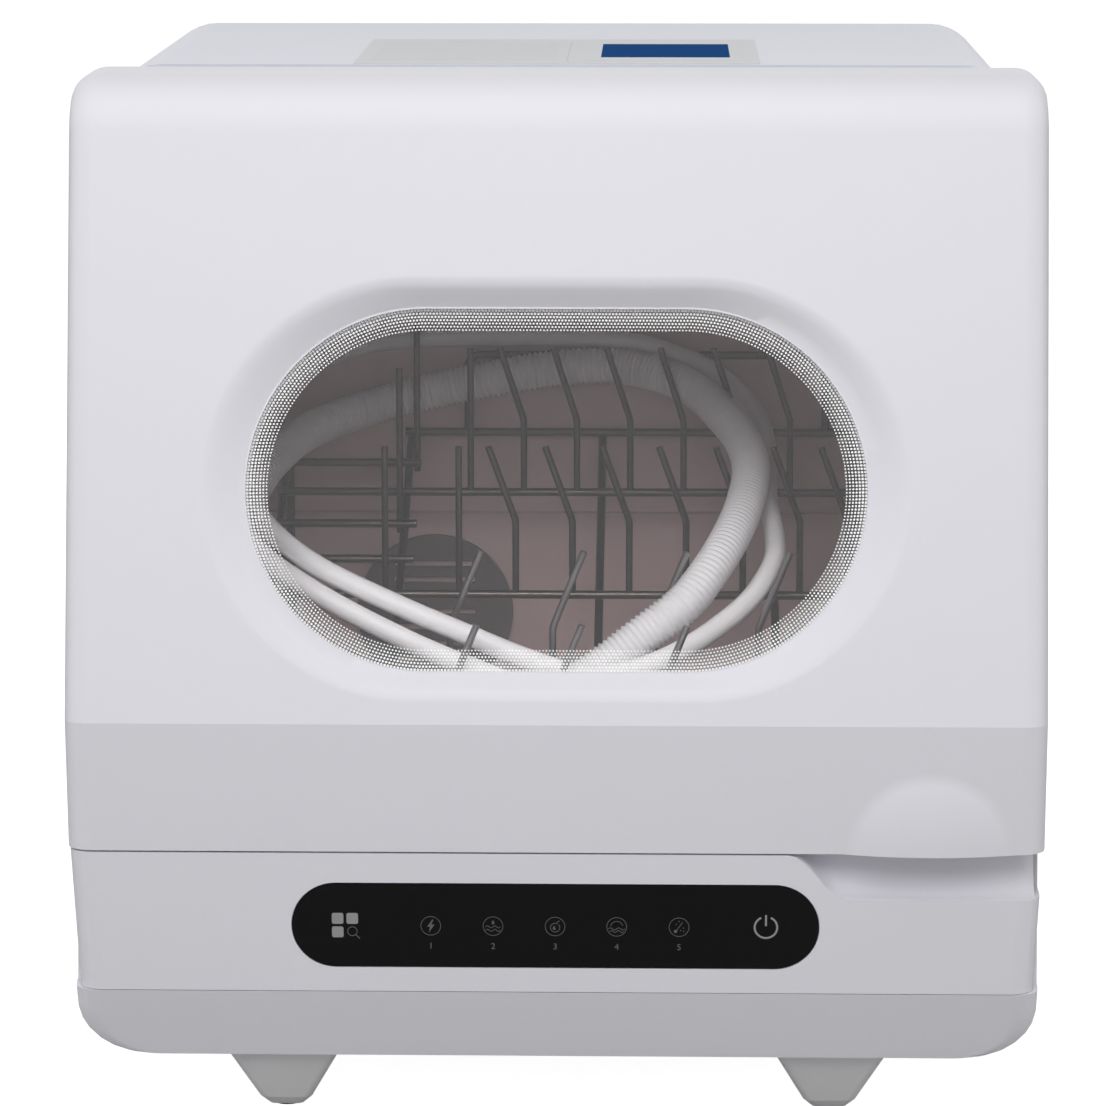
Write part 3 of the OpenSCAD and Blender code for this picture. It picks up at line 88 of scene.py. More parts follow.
bpy.ops.object.camera_add()
camera = bpy.context.object
camera.name = "camera"
camera.matrix_world = (
    Matrix.Translation(CAMERA_AT)
    @ Matrix.Rotation(CAMERA_TURN, 4, "Z")
    @ Matrix.Rotation(math.pi / 2 - CAMERA_DOWN, 4, "X")
    @ Matrix.Rotation(CAMERA_ROLL, 4, "Z")
)
camera.data.sensor_width = SENSOR
camera.data.lens = SENSOR * FOCAL_PIXELS / PICTURE
camera.data.clip_end = FAR_END
bpy.context.scene.camera = camera
print("lens in mm:", round(camera.data.lens, 1))

# %% [markdown]
# Operators act on everything that is selected, so each piece starts from an empty selection. These
# helpers do what a hand does between two steps: pick one object, apply a modifier, and at the end put
# the piece's place into its mesh, so that its object sits at the origin as the CAD parts do.

# %% Helpers for selecting and finishing
def pick(obj=None):
    """Object mode, with only this object selected, or nothing."""
    if bpy.context.object and bpy.context.object.mode != "OBJECT":
        bpy.ops.object.mode_set(mode="OBJECT")
    bpy.ops.object.select_all(action="DESELECT")
    if obj:
        obj.select_set(True)
        bpy.context.view_layer.objects.active = obj
    return obj


def modify(obj, kind, **settings):
    """Add one modifier with these settings and apply it."""
    pick(obj)
    modifier = obj.modifiers.new(kind.lower(), kind)
    for name, value in settings.items():
        setattr(modifier, name, value)
    bpy.ops.object.modifier_apply(modifier=modifier.name)


def smooth(obj, angle):
    """Smooth shading, with edges sharper than the angle kept crisp."""
    pick(obj)
    bpy.ops.object.shade_smooth_by_angle(angle=math.radians(angle))


def dress(obj, name, body, material, nodes=()):
    """Finish a piece: its name, its material, the body it rides on and the nodes it stands for."""
    pick(obj)
    bpy.ops.object.transform_apply(location=True, rotation=True, scale=True)
    obj.name = obj.data.name = name
    obj.data.materials.clear()
    obj.data.materials.append(material)
    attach(obj, body)
    if nodes:
        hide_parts(*nodes)
    return obj


def join(parts):
    """Join all the parts to the first one."""
    pick(parts[0])
    for part in parts:
        part.select_set(True)
    if len(parts) > 1:
        bpy.ops.object.join()
    return bpy.context.object


def duplicate(obj):
    pick(obj)
    bpy.ops.object.duplicate()
    return bpy.context.object


def outward(obj):
    """Turn all faces of a closed mesh outwards."""
    select_where(obj, lambda co: True)
    bpy.ops.mesh.normals_make_consistent(inside=False)
    bpy.ops.object.mode_set(mode="OBJECT")


def select_where(obj, test, kind="VERT"):
    """Edit mode with only the elements selected whose place passes the test."""
    pick(obj)
    bpy.ops.object.mode_set(mode="EDIT")
    bpy.ops.mesh.select_mode(type=kind)
    bpy.ops.mesh.select_all(action="DESELECT")
    mesh = bmesh.from_edit_mesh(obj.data)
    items = {"VERT": mesh.verts, "EDGE": mesh.edges, "FACE": mesh.faces}[kind]
    for item in items:
        item.select = test(item.co if kind == "VERT" else item)
    mesh.select_flush_mode()
    bmesh.update_edit_mesh(obj.data)


# %% [markdown]
# The machine is shown with its hoses stowed in the rack. Each hose follows a route through listed
# points, and a Catmull-Rom curve joins them smoothly. The same points lie in the CAD source, so both
# models agree.

# %% Routes of the two hoses
HOSE_ROUTE = [(-158, -104, 160.5), (-130, -104, 160), (-100, -104, 159.8), (-72, -103, 159.5),
    (-46, -101, 160.5), (-24, -99, 165), (-3, -97.5, 173.5), (17, -95.5, 185.5), (36, -92.5, 199.5),
    (55.5, -86, 213.7), (69, -70.5, 228.5), (78.5, -48, 241), (84.5, -22, 252), (86.4, 4, 261.5),
    (82.5, 31, 270), (74, 54, 277.5), (64.5, 75, 284), (52, 92.5, 289), (33.5, 104.5, 292.5),
    (11, 109, 293.5), (-18, 110, 290.5), (-47, 110, 285), (-76, 111.3, 278.5), (-103, 104, 271.5),
    (-125, 86, 265), (-138, 58, 258), (-146, 24, 250), (-150, -12, 240.5), (-151.5, -50, 229),
    (-151, -82, 216.5), (-149, -112, 203)]
TUBE_ROUTE = [(88, -102, 156), (62, -106, 158.5), (34, -111.5, 164), (6, -113.5, 172),
    (-20, -113, 181.5), (-56, -110.5, 195.5), (-85, -106.5, 208.5), (-112, -99, 222),
    (-136, -80, 235), (-149, -52, 247), (-153, -15, 258), (-152, 25, 269), (-145, 62, 281),
    (-126, 98, 294), (-95, 117, 303.5), (-50, 122, 306), (0, 120, 306), (30, 116.5, 304),
    (52, 113.5, 298.5), (72, 109, 289.5), (86, 98, 279), (93, 80, 269), (95, 55, 259),
    (94.7, 28, 251), (94.5, 0, 243.5), (97, -27, 235), (96, -50, 226), (86, -68, 213),
    (70, -84, 202), (52, -99.5, 193.5), (31, -110.5, 187.5), (8, -112.5, 186.5), (-16, -107, 192.5),
    (-44, -102, 203), (-74, -98, 215), (-110, -91.5, 231.5), (-134, -71, 246.5), (-145, -42, 259),
    (-149, -5, 272), (-147, 35, 284.5), (-139, 70, 296), (-122, 97, 306.5), (-97, 111, 315)]


def smooth_route(points, steps=12):
    """Points on the Catmull-Rom curve through the given ones, in metres."""
    p = [Vector(v) * MM for v in points]
    p = [p[0] * 2 - p[1], *p, p[-1] * 2 - p[-2]]
    line = []
    for i in range(1, len(p) - 2):
        for k in range(steps):
            t = k / steps
            line.append(0.5 * (2 * p[i] + (p[i + 1] - p[i - 1]) * t
                + (2 * p[i - 1] - 5 * p[i] + 4 * p[i + 1] - p[i + 2]) * t**2
                + (3 * p[i] - p[i - 1] - 3 * p[i + 1] + p[i + 2]) * t**3))
    return line + [p[-2]]


def length_of(line):
    """Length along a line of points."""
    return sum((b - a).length for a, b in zip(line, line[1:]))


HOSE_LINE, TUBE_LINE = smooth_route(HOSE_ROUTE), smooth_route(TUBE_ROUTE)
print("hose and tube length in mm:", round(length_of(HOSE_LINE) / MM), round(length_of(TUBE_LINE) / MM))

# %% [markdown]
# A corrugated hose repeats one small rib along its whole length. So one rib is modelled straight, an
# Array modifier repeats it, and a Curve modifier bends the row along the route. Solidify then gives
# the wall its thickness. Each end is a smooth open cuff.

# %% Straight pipe sections, bent along a route
WELD_GAP, ARRAY_GAP = 0.02 * MM, 0.01 * MM


def path_curve(name, line):
    """A curve object of straight pieces through the points."""
    data = bpy.data.curves.new(name, "CURVE")
    data.dimensions = "3D"
    data.twist_mode = "MINIMUM"
    spline = data.splines.new("POLY")
    spline.points.add(len(line) - 1)
    for point, place in zip(spline.points, line):
        point.co = (*place, 1)
    curve = bpy.data.objects.new(name, data)
    bpy.context.scene.collection.objects.link(curve)
    return curve


def turned_section(profile, sides):
    """An open tube round the X axis through the given (x, radius) pairs, in metres."""
    pick()
    bpy.ops.mesh.primitive_circle_add(vertices=sides, radius=profile[0][1], rotation=(0, math.pi / 2, 0),
        location=(profile[0][0], 0, 0))
    section = bpy.context.object
    bpy.ops.object.transform_apply(location=True, rotation=True, scale=True)
    bpy.ops.object.mode_set(mode="EDIT")
    bpy.ops.mesh.select_all(action="SELECT")
    for (x0, r0), (x1, r1) in zip(profile, profile[1:]):
        bpy.ops.mesh.extrude_edges_move(TRANSFORM_OT_translate={"value": (x1 - x0, 0, 0)})
        bpy.ops.transform.resize(value=(1, r1 / r0, r1 / r0), center_override=(x1, 0, 0))
    bpy.ops.object.mode_set(mode="OBJECT")
    return section


def repeat(obj, count, step, **settings):
    """A row of copies along X, one step apart."""
    modify(obj, "ARRAY", count=count, use_relative_offset=False, use_constant_offset=True,
        constant_offset_displace=(step, 0, 0), **settings)


def bend_along(parts, line, wall):
    """Join straight sections to one pipe, lay it along the line and give it a wall."""
    pipe = join(parts)
    modify(pipe, "WELD", merge_threshold=WELD_GAP)
    curve = path_curve("route", line)
    modify(pipe, "CURVE", object=curve, deform_axis="POS_X")
    bpy.data.objects.remove(curve)
    outward(pipe)
    modify(pipe, "SOLIDIFY", thickness=wall, offset=-1, use_even_offset=True)
    return pipe


# %% Ribbed drain hose
HOSE_R, RIB_DEEP, RIB_PITCH, CUFF, HOSE_WALL = 9 * MM, 0.9 * MM, 2.6 * MM, 26 * MM, 0.7 * MM
HOSE_SIDES, CUFF_STEPS = 20, 6
CREST_TO, VALLEY_FROM, VALLEY_TO = 0.34, 0.56, 0.78
hose_length = length_of(HOSE_LINE)
rib_count = round((hose_length - 2 * CUFF) / RIB_PITCH)
pitch = (hose_length - 2 * CUFF) / rib_count
rib = turned_section([(0, HOSE_R), (CREST_TO * pitch, HOSE_R), (VALLEY_FROM * pitch, HOSE_R - RIB_DEEP),
    (VALLEY_TO * pitch, HOSE_R - RIB_DEEP), (pitch, HOSE_R)], HOSE_SIDES)
repeat(rib, rib_count, pitch, use_merge_vertices=True, merge_threshold=ARRAY_GAP)
rib.data.transform(Matrix.Translation((CUFF, 0, 0)))
cuffs = [turned_section([(x + CUFF * k / CUFF_STEPS, HOSE_R) for k in range(CUFF_STEPS + 1)], HOSE_SIDES)
    for x in (0, hose_length - CUFF)]
hose = bend_along([rib, *cuffs], HOSE_LINE, HOSE_WALL)
print("drain hose:", rib_count, "ribs,", len(hose.data.polygons), "faces")

# %% [markdown]
# The supply tube is smooth, so one plain ring of faces is repeated and bent in the same way.

# %% Smooth supply tube
TUBE_R, TUBE_STEP, TUBE_WALL, TUBE_SIDES = 4.75 * MM, 3.2 * MM, 1.5 * MM, 24
tube_length = length_of(TUBE_LINE)
tube_steps = round(tube_length / TUBE_STEP)
piece = turned_section([(0, TUBE_R), (tube_length / tube_steps, TUBE_R)], TUBE_SIDES)
repeat(piece, tube_steps, tube_length / tube_steps, use_merge_vertices=True, merge_threshold=ARRAY_GAP)
tube = bend_along([piece], TUBE_LINE, TUBE_WALL)
print("supply tube:", len(tube.data.polygons), "faces")

# %% [markdown]
# The photograph is a plain studio shot on white. A soft box above and a key panel in front make the
# leaning door brighter than the undercut band below it. A weak panel and two wings fill the front and
# the sides, and one behind lights the top. The camera and mirrored rays see a white backdrop, but the
# sky lights the machine only weakly, and the floor glows white for the camera alone.

# %% Floor and lights
scene = bpy.context.scene
scene.view_settings.view_transform = "Standard"
world = bpy.data.worlds.new("studio")
scene.world = world
world.use_nodes = True
SKY, BACKDROP, FLOOR_GREY, FLOOR_GLOW = 0.17, 1.0, 0.50, 0.95
sky_nodes, sky_links = world.node_tree.nodes, world.node_tree.links
rays = sky_nodes.new("ShaderNodeLightPath")
mirrored = sky_nodes.new("ShaderNodeMath")
mirrored.operation = "MULTIPLY"
sky_links.new(rays.outputs["Is Glossy Ray"], mirrored.inputs[0])
sky_links.new(rays.outputs["Is Reflection Ray"], mirrored.inputs[1])
seen = sky_nodes.new("ShaderNodeMath")
seen.operation = "MAXIMUM"
sky_links.new(rays.outputs["Is Camera Ray"], seen.inputs[0])
sky_links.new(mirrored.outputs[0], seen.inputs[1])
level = sky_nodes.new("ShaderNodeMapRange")
level.inputs["To Min"].default_value, level.inputs["To Max"].default_value = SKY, BACKDROP
sky_links.new(seen.outputs[0], level.inputs["Value"])
background = sky_nodes["Background"]
background.inputs["Color"].default_value = (1, 1, 1, 1)
sky_links.new(level.outputs["Result"], background.inputs["Strength"])


def lamp(name, place, aim, size, watts):
    """A rectangular lamp that faces a point, with places and sizes in millimetres."""
    bpy.ops.object.light_add(type="AREA", location=Vector(place) * MM)
    light = bpy.context.object
    light.name = name
    light.rotation_euler = (Vector(place) - Vector(aim)).to_track_quat("Z", "Y").to_euler()
    light.data.shape = "RECTANGLE"
    light.data.size, light.data.size_y = size[0] * MM, size[1] * MM
    light.data.energy = watts
    return light


pick()
lamp("soft_box", (-60, -760, 1800), (0, -150, 300), (1200, 1000), 7.0)
key = lamp("key_panel", (-40, -1350, 1120), (0, -150, 260), (900, 700), 10.5)
fill = lamp("front_panel", (0, -2500, 1000), (0, -100, 250), (1400, 900), 4.2)
wings = [lamp("wing", (side * 2000, -250, 420), (side * 200, -80, 250), (1200, 1200), 10)
    for side in (-1, 1)]
back = lamp("back_panel", (0, 2300, 1150), (0, 100, 250), (1400, 900), 16)
for panel in (key, fill, back, *wings):
    panel.visible_glossy = False

FLOOR_SIZE = 90
bpy.ops.mesh.primitive_plane_add(size=FLOOR_SIZE)
floor = bpy.context.object
floor.name = "floor"
floor_paint = bpy.data.materials.new("floor_paint")
floor_paint.use_nodes = True
floor_nodes, floor_links = floor_paint.node_tree.nodes, floor_paint.node_tree.links
floor_shader = floor_nodes["Principled BSDF"]
for label, value in {"Base Color": (FLOOR_GREY,) * 3 + (1,), "Roughness": 0.9,
                     "Specular IOR Level": 0.1, "Emission Color": (1, 1, 1, 1)}.items():
    floor_shader.inputs[label].default_value = value
rays = floor_nodes.new("ShaderNodeLightPath")
glow = floor_nodes.new("ShaderNodeMapRange")
glow.inputs["To Max"].default_value = FLOOR_GLOW
floor_links.new(rays.outputs["Is Camera Ray"], glow.inputs["Value"])
floor_links.new(glow.outputs["Result"], floor_shader.inputs["Emission Strength"])
floor.data.materials.append(floor_paint)

# %% [markdown]
# Moulded plastic is never one flat colour. Its mould leaves a fine grain, and handling leaves faint
# marks that change the gloss. Both effects are wanted on most parts, so each is a node group with
# named inputs, built once and placed in every material with that material's own numbers.

# %% Node groups for the shared effects
def node_group(name, inputs, outputs):
    """An empty node group with named inputs, set to their defaults, and named outputs."""
    group = bpy.data.node_groups.new(name, "ShaderNodeTree")
    for label, value in inputs.items():
        kind = "NodeSocketColor" if isinstance(value, tuple) else "NodeSocketFloat"
        group.interface.new_socket(name=label, in_out="INPUT", socket_type=kind).default_value = value
    for label, kind in outputs.items():
        group.interface.new_socket(name=label, in_out="OUTPUT", socket_type="NodeSocket" + kind)
    tree = Tree(group)
    return group, tree, tree.add("NodeGroupInput"), tree.add("NodeGroupOutput")


class Tree:
    """A node tree with one short call to add a node and set its sockets."""

    def __init__(self, owner):
        self.nodes, self.links = owner.nodes, owner.links

    def add(self, kind, sockets=None, **settings):
        node = self.nodes.new(kind)
        for name, value in settings.items():
            setattr(node, name, value)
        for socket, value in (sockets or {}).items():
            if isinstance(value, bpy.types.NodeSocket):
                self.links.new(value, node.inputs[socket])
            else:
                node.inputs[socket].default_value = value
        return node

    def place(self):
        return self.add("ShaderNodeTexCoord").outputs["Object"]

    def maths(self, operation, a, b=0.0):
        return self.add("ShaderNodeMath", {0: a, 1: b}, operation=operation).outputs[0]


def grey(value):
    return (value, value, value, 1.0)


# %% Mould grain and handling marks
grain_group, tree, given, made = node_group("Mould Grain",
    {"Scale": 1500.0, "Detail": 3.0}, {"Height": "Float"})
noise = tree.add("ShaderNodeTexNoise", {"Vector": tree.place(), "Scale": given.outputs["Scale"],
    "Detail": given.outputs["Detail"], "Roughness": 0.6})
tree.links.new(noise.outputs["Fac"], made.inputs["Height"])

marks_group, tree, given, made = node_group("Handling Marks",
    {"Size": 9.0, "Gloss": 0.25, "Change": 0.08, "Color": grey(0.8), "Drift": 0.03},
    {"Color": "Color", "Roughness": "Float"})
noise = tree.add("ShaderNodeTexNoise", {"Vector": tree.place(), "Scale": given.outputs["Size"],
    "Detail": 5.0, "Roughness": 0.65})
centred = tree.maths("SUBTRACT", noise.outputs["Fac"], 0.5)
change = tree.maths("MULTIPLY", centred, given.outputs["Change"])
tree.links.new(tree.maths("ADD", given.outputs["Gloss"], change), made.inputs["Roughness"])
lift = tree.maths("ADD", tree.maths("MULTIPLY", centred, given.outputs["Drift"]), 1.0)
scaled = tree.add("ShaderNodeVectorMath", {0: given.outputs["Color"], "Scale": lift}, operation="SCALE")
tree.links.new(scaled.outputs[0], made.inputs["Color"])

# %% [markdown]
# Drawn wire and brushed sheet have fine lines along one direction. A noise that is stretched far more
# along than across gives them, and both the height and the gloss follow it. The rack's wires run in
# several directions, so on them the noise is the same along and across.

# %% Brushed or drawn metal
brush_group, tree, given, made = node_group("Drawn Metal",
    {"Across": 900.0, "Along": 40.0, "Gloss": 0.3, "Change": 0.15},
    {"Height": "Float", "Roughness": "Float"})
stretch = tree.add("ShaderNodeCombineXYZ", {"X": given.outputs["Along"], "Y": given.outputs["Across"],
    "Z": given.outputs["Across"]})
lines = tree.add("ShaderNodeVectorMath", {0: tree.place(), 1: stretch.outputs[0]}, operation="MULTIPLY")
noise = tree.add("ShaderNodeTexNoise", {"Vector": lines.outputs[0], "Scale": 1.0, "Detail": 4.0})
tree.links.new(noise.outputs["Fac"], made.inputs["Height"])
change = tree.maths("MULTIPLY", tree.maths("SUBTRACT", noise.outputs["Fac"], 0.5), given.outputs["Change"])
tree.links.new(tree.maths("ADD", given.outputs["Gloss"], change), made.inputs["Roughness"])

# %% [markdown]
# Two helpers build a whole material from its numbers, one for moulded plastic and one for metal. What
# is the same all over the piece is set on the shader's own sockets, and only what varies is linked.

# %% Helpers that put the groups in a material
def material(name):
    made = bpy.data.materials.new(name)
    made.use_nodes = True
    tree = Tree(made.node_tree)
    return made, tree, made.node_tree.nodes["Principled BSDF"]


def grouped(tree, group, **values):
    """Place a node group in a material with that material's own numbers."""
    node = tree.add("ShaderNodeGroup", node_tree=group)
    for label, value in values.items():
        node.inputs[label].default_value = value
    return node


def set_sockets(shader, values):
    for label, value in values.items():
        shader.inputs[label.replace("_", " ")].default_value = value


def bumped(tree, shader, height, depth, strength=1.0):
    bump = tree.add("ShaderNodeBump", {"Height": height, "Distance": depth, "Strength": strength})
    tree.links.new(bump.outputs["Normal"], shader.inputs["Normal"])


def moulded(name, color, gloss, grain, depth, drift, change=0.08, **shine):
    """Moulded plastic or rubber. The grain's depth is in millimetres."""
    made, tree, shader = material(name)
    marks = grouped(tree, marks_group, Color=(*color, 1.0), Gloss=gloss, Change=change, Drift=drift)
    tree.links.new(marks.outputs["Color"], shader.inputs["Base Color"])
    tree.links.new(marks.outputs["Roughness"], shader.inputs["Roughness"])
    bumped(tree, shader, grouped(tree, grain_group, Scale=grain).outputs["Height"], depth * MM)
    set_sockets(shader, shine)
    return made


def metal(name, color, gloss, across, along, depth):
    """Bare metal with fine drawn lines or grain. Their depth is in millimetres."""
    made, tree, shader = material(name)
    shader.inputs["Metallic"].default_value = 1.0
    marks = grouped(tree, marks_group, Color=(*color, 1.0), Gloss=gloss, Drift=0.2, Size=60.0)
    tree.links.new(marks.outputs["Color"], shader.inputs["Base Color"])
    brush = grouped(tree, brush_group, Across=across, Along=along, Gloss=gloss)
    tree.links.new(brush.outputs["Roughness"], shader.inputs["Roughness"])
    bumped(tree, shader, brush.outputs["Height"], depth * MM)
    return made


# %% [markdown]
# Each finish of the machine is one material. The door and fascia are satin white plastic with a cool
# cast, the chamber is a warm grey, the wires are drawn steel darkened by painted shade, and so on. A
# part that shows in the photograph takes its colour from there, and a hidden one from machines of this
# kind.

# %% Finishes
FINISHES = {
    "white_gloss": moulded("white_gloss", (0.770, 0.763, 0.810), 0.42, 1100, 0.012, 0.008, 0.03,
        Specular_IOR_Level=0.3),
    "white_casing": moulded("white_casing", (0.82, 0.812, 0.86), 0.42, 1300, 0.02, 0.01, 0.04),
    "housing_sheet": moulded("housing_sheet", (0.63, 0.65, 0.73), 0.3, 600, 0.02, 0.01, 0.04),
    "tub_plastic": moulded("tub_plastic", (0.60, 0.46, 0.465), 0.45, 1200, 0.002, 0.04),
    "seal_grey": moulded("seal_grey", (0.32, 0.32, 0.33), 0.6, 1800, 0.03, 0.1),
    "gasket_black": moulded("gasket_black", (0.03, 0.03, 0.032), 0.55, 1800, 0.03, 0.2),
    "sole_rubber": moulded("sole_rubber", (0.06, 0.06, 0.06), 0.75, 2200, 0.05, 0.2),
    "foot_grey": moulded("foot_grey", (0.72, 0.72, 0.73), 0.42, 900, 0.03, 0.05),
    "lens_black": moulded("lens_black", (0.006, 0.006, 0.0065), 0.2, 300, 0.002, 0.2,
        Specular_IOR_Level=0.12),
    "pump_plastic": moulded("pump_plastic", (0.10, 0.10, 0.11), 0.45, 1200, 0.03, 0.1),
    "cap_grey": moulded("cap_grey", (0.12, 0.11, 0.11), 0.45, 1200, 0.03, 0.1),
    "spray_plastic": moulded("spray_plastic", (0.30, 0.35, 0.41), 0.35, 1200, 0.02, 0.06),
    "glide_nylon": moulded("glide_nylon", (0.72, 0.72, 0.70), 0.4, 1500, 0.02, 0.05),
    "hose_white": moulded("hose_white", (0.81, 0.81, 0.83), 0.4, 1800, 0.015, 0.03,
        Subsurface_Weight=0.2, Subsurface_Radius=(0.004, 0.004, 0.0035), Subsurface_Scale=1.0),
    "board_green": moulded("board_green", (0.03, 0.16, 0.07), 0.35, 500, 0.05, 0.5),
    # The rack wire's dark colour is painted shade, for the rear rows that lie in the chamber's shade.
    "rack_wire": metal("rack_wire", (0.12, 0.105, 0.10), 0.34, 1600, 1600, 0.01),
    "steel": metal("steel", (0.62, 0.62, 0.62), 0.25, 1400, 60, 0.01),
    "motor_metal": metal("motor_metal", (0.55, 0.56, 0.58), 0.35, 700, 30, 0.01),
    "label_film": moulded("label_film", (0.60, 0.61, 0.63), 0.4, 400, 0.004, 0.03,
        Specular_IOR_Level=0.3),
}
print(len(FINISHES), "finishes")

# %% [markdown]
# The door's glass is faintly tinted. The chamber behind it is lit through it, and glass casts a full
# shadow in a path tracer. So the material lets the rays from lamps straight through with the glass's
# own tint, and shows true glass to everything else.

# %% Tinted glass
GLASS_TINT = (0.94, 0.925, 0.925, 1.0)
GLASS_SIDE = tuple(math.sqrt(c) for c in GLASS_TINT)
glass, tree, shader = material("smoke_glass")
set_sockets(shader, {"Base Color": GLASS_TINT, "Roughness": 0.0, "IOR": 1.45, "Specular IOR Level": 0.2,
    "Transmission Weight": 1.0})
clear = tree.add("ShaderNodeBsdfTransparent", {"Color": GLASS_SIDE})
rays = tree.add("ShaderNodeLightPath")
mixed = tree.add("ShaderNodeMixShader", {0: rays.outputs["Is Shadow Ray"], 1: shader.outputs[0],
    2: clear.outputs[0]})
tree.links.new(mixed.outputs[0], tree.nodes["Material Output"].inputs["Surface"])
FINISHES["smoke_glass"] = glass

# %% [markdown]
# Each part's slot is written in the record, and its finish goes by that slot. The two front rows of
# tines catch more light in the photograph than the rest of the rack, so their wire is a lighter copy
# of the same finish, with that light painted into its colour.

# %% Give every CAD part its finish
SLOTS = {part["node"]: part["material_slot"] for part in frame["record"]["subparts"]}
for name, node in NODES.items():
    node.data.materials.clear()
    node.data.materials.append(FINISHES[SLOTS[name]])
# A lighter copy of the rack wire, with the light on the front rows painted into its colour.
FINISHES["wire_painted_light"] = metal("wire_painted_light", (0.42, 0.42, 0.42), 0.3, 1600, 1600, 0.01)
for name in ("tine_row_front", "tine_row_low"):
    NODES[name].data.materials[0] = FINISHES["wire_painted_light"]

# %% [markdown]
# The hoses are free pieces, each standing for its CAD hose. They are stowed on the rack and slide with it.

# %% Place the hoses
CORD_ANGLE = 60
dress(hose, "ribbed_hose", "rack", FINISHES["hose_white"], ["drain_hose"])
smooth(hose, CORD_ANGLE)
dress(tube, "supply_tube", "rack", FINISHES["hose_white"], ["inlet_tube"])
smooth(tube, CORD_ANGLE)

# %% [markdown]
# The door leans back by 12 degrees and the fascia forward by 6. Shapes on them are drawn flat on the
# ground and then carried over by these two planes. The window is two half circles joined by lines.

# %% Planes to work on
DOOR_FACE = Matrix.Translation(Vector((0, -210, 184.3)) * MM) @ Matrix.Rotation(math.radians(78), 4, "X")
LENS_FACE = Matrix.Translation(Vector((0, -200.51, 94)) * MM) @ Matrix.Rotation(math.radians(96), 4, "X")
WINDOW_UP, GLASS_DEEP, GLASS_HALF, GLASS_R = 100.5 * MM, 12.7 * MM, 55.5 * MM, 77.5 * MM


def racetrack(half, radius, vertices=96, fill="NOTHING"):
    """An outline of two half circles joined by straight lines, flat on the ground."""
    pick()
    bpy.ops.mesh.primitive_circle_add(vertices=vertices, radius=radius, fill_type=fill,
        rotation=(0, 0, math.pi / vertices))
    outline = bpy.context.object
    bpy.ops.object.transform_apply(location=True, rotation=True, scale=True)
    for side in (-1, 1):
        select_where(outline, lambda co: co.x * side > 0)
        bpy.ops.transform.translate(value=(side * half, 0, 0))
        bpy.ops.object.mode_set(mode="OBJECT")
    return outline


# %% [markdown]
# The moulded shells are rounded all over, but the CAD mesh shows small facets where two roundings
# meet. A copy of each shell is merged to one skin and shaded smooth by angle, and stands for its node.
# The door's copy is also cut again round the window.

# %% Smooth skins over the moulded shells
SKIN_MERGE, FLAT_ANGLE = 0.002 * MM, 0.3
SKIN_ANGLES = {"front_fascia": 14, "housing_shell": 14, "feet": 25, "door_liner": 25}
DOOR_ANGLE, TRAY_ANGLE = 17, 14


def skin_of(node, angle, cutter=None):
    """A merged and smoothed copy of a CAD part that replaces it, cut by the cutter if there is one."""
    skin = duplicate(NODES[node])
    skin.parent = None
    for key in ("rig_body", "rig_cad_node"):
        del skin[key]
    select_where(skin, lambda co: True)
    bpy.ops.mesh.remove_doubles(threshold=SKIN_MERGE)
    bpy.ops.mesh.dissolve_limited(angle_limit=math.radians(FLAT_ANGLE))
    bpy.ops.object.mode_set(mode="OBJECT")
    if cutter:
        modify(skin, "BOOLEAN", operation="DIFFERENCE", object=cutter, solver="EXACT")
        bpy.data.objects.remove(cutter)
    dress(skin, node + "_skin", NODES[node]["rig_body"], FINISHES[SLOTS[node]], [node])
    smooth(skin, angle)
    modify(skin, "WEIGHTED_NORMAL", keep_sharp=True)
    return skin


# %% [markdown]
# The slope round the window runs into the door's face in a soft rim. The CAD part has it in coarse
# steps. So a finely divided plug in the shape of the hollow is built from rings, bridged and capped,
# and cut out of the door's skin, a little wider than the hollow that is there.

# %% The slope round the window, cut with a finely divided plug
WINDOW_SLOPE = ((55.5, 78, -9), (58.25, 82.25, -4.95), (60.5, 85, -2.1), (61, 87, -0.95), (61, 89, -0.32),
    (61, 91.2, 0.06), (61, 92, 1.5))
PLUG_EXTRA, PLUG_STEPS = 0.3, 144


def window_plug():
    """The hollow that the surround leaves, as rings joined into one closed plug."""
    rings = []
    for half, radius, up in WINDOW_SLOPE:
        ring = racetrack(half * MM, (radius + PLUG_EXTRA) * MM, PLUG_STEPS)
        ring.data.transform(Matrix.Translation((0, 0, up * MM)))
        rings.append(ring)
    plug = join(rings)
    select_where(plug, lambda edge: True, "EDGE")
    bpy.ops.mesh.bridge_edge_loops()
    for up in (WINDOW_SLOPE[0][2], WINDOW_SLOPE[-1][2]):
        select_where(plug, lambda edge: all(abs(v.co.z - up * MM) < 0.01 * MM for v in edge.verts), "EDGE")
        bpy.ops.mesh.edge_face_add()
    outward(plug)
    plug.data.transform(DOOR_FACE @ Matrix.Translation((0, WINDOW_UP, 0)))
    print("window plug:", len(plug.data.polygons), "faces")
    return plug


skin_of("door_shell", DOOR_ANGLE, window_plug())

# %% [markdown]
# In the photograph the skirt of the base reaches a little further out to the sides than in the CAD
# part. The ends of the tray's skin are moved outwards towards that line, and its middle stays.

# %% Wider lower corners on the base tray
LOW, SKIRT, TOP_OF_TRAY, FIXED_HALF = 30, 63.5, 126.5, 140
OLD_CORNER, OLD_HALF, NEW_CORNER, NEW_HALF, TOP_HALF = 25, 206.6, 24, 208.7, 209.3


def tray_half(z, corner, half):
    """Half the tray's width at a height, in millimetres."""
    if z > SKIRT:
        return half + (TOP_HALF - half) * min(1, (z - SKIRT) / (TOP_OF_TRAY - SKIRT))
    turn = math.acos(max(0, 1 - max(0, z - LOW) / corner))
    return half - corner * (1 - math.sin(turn))


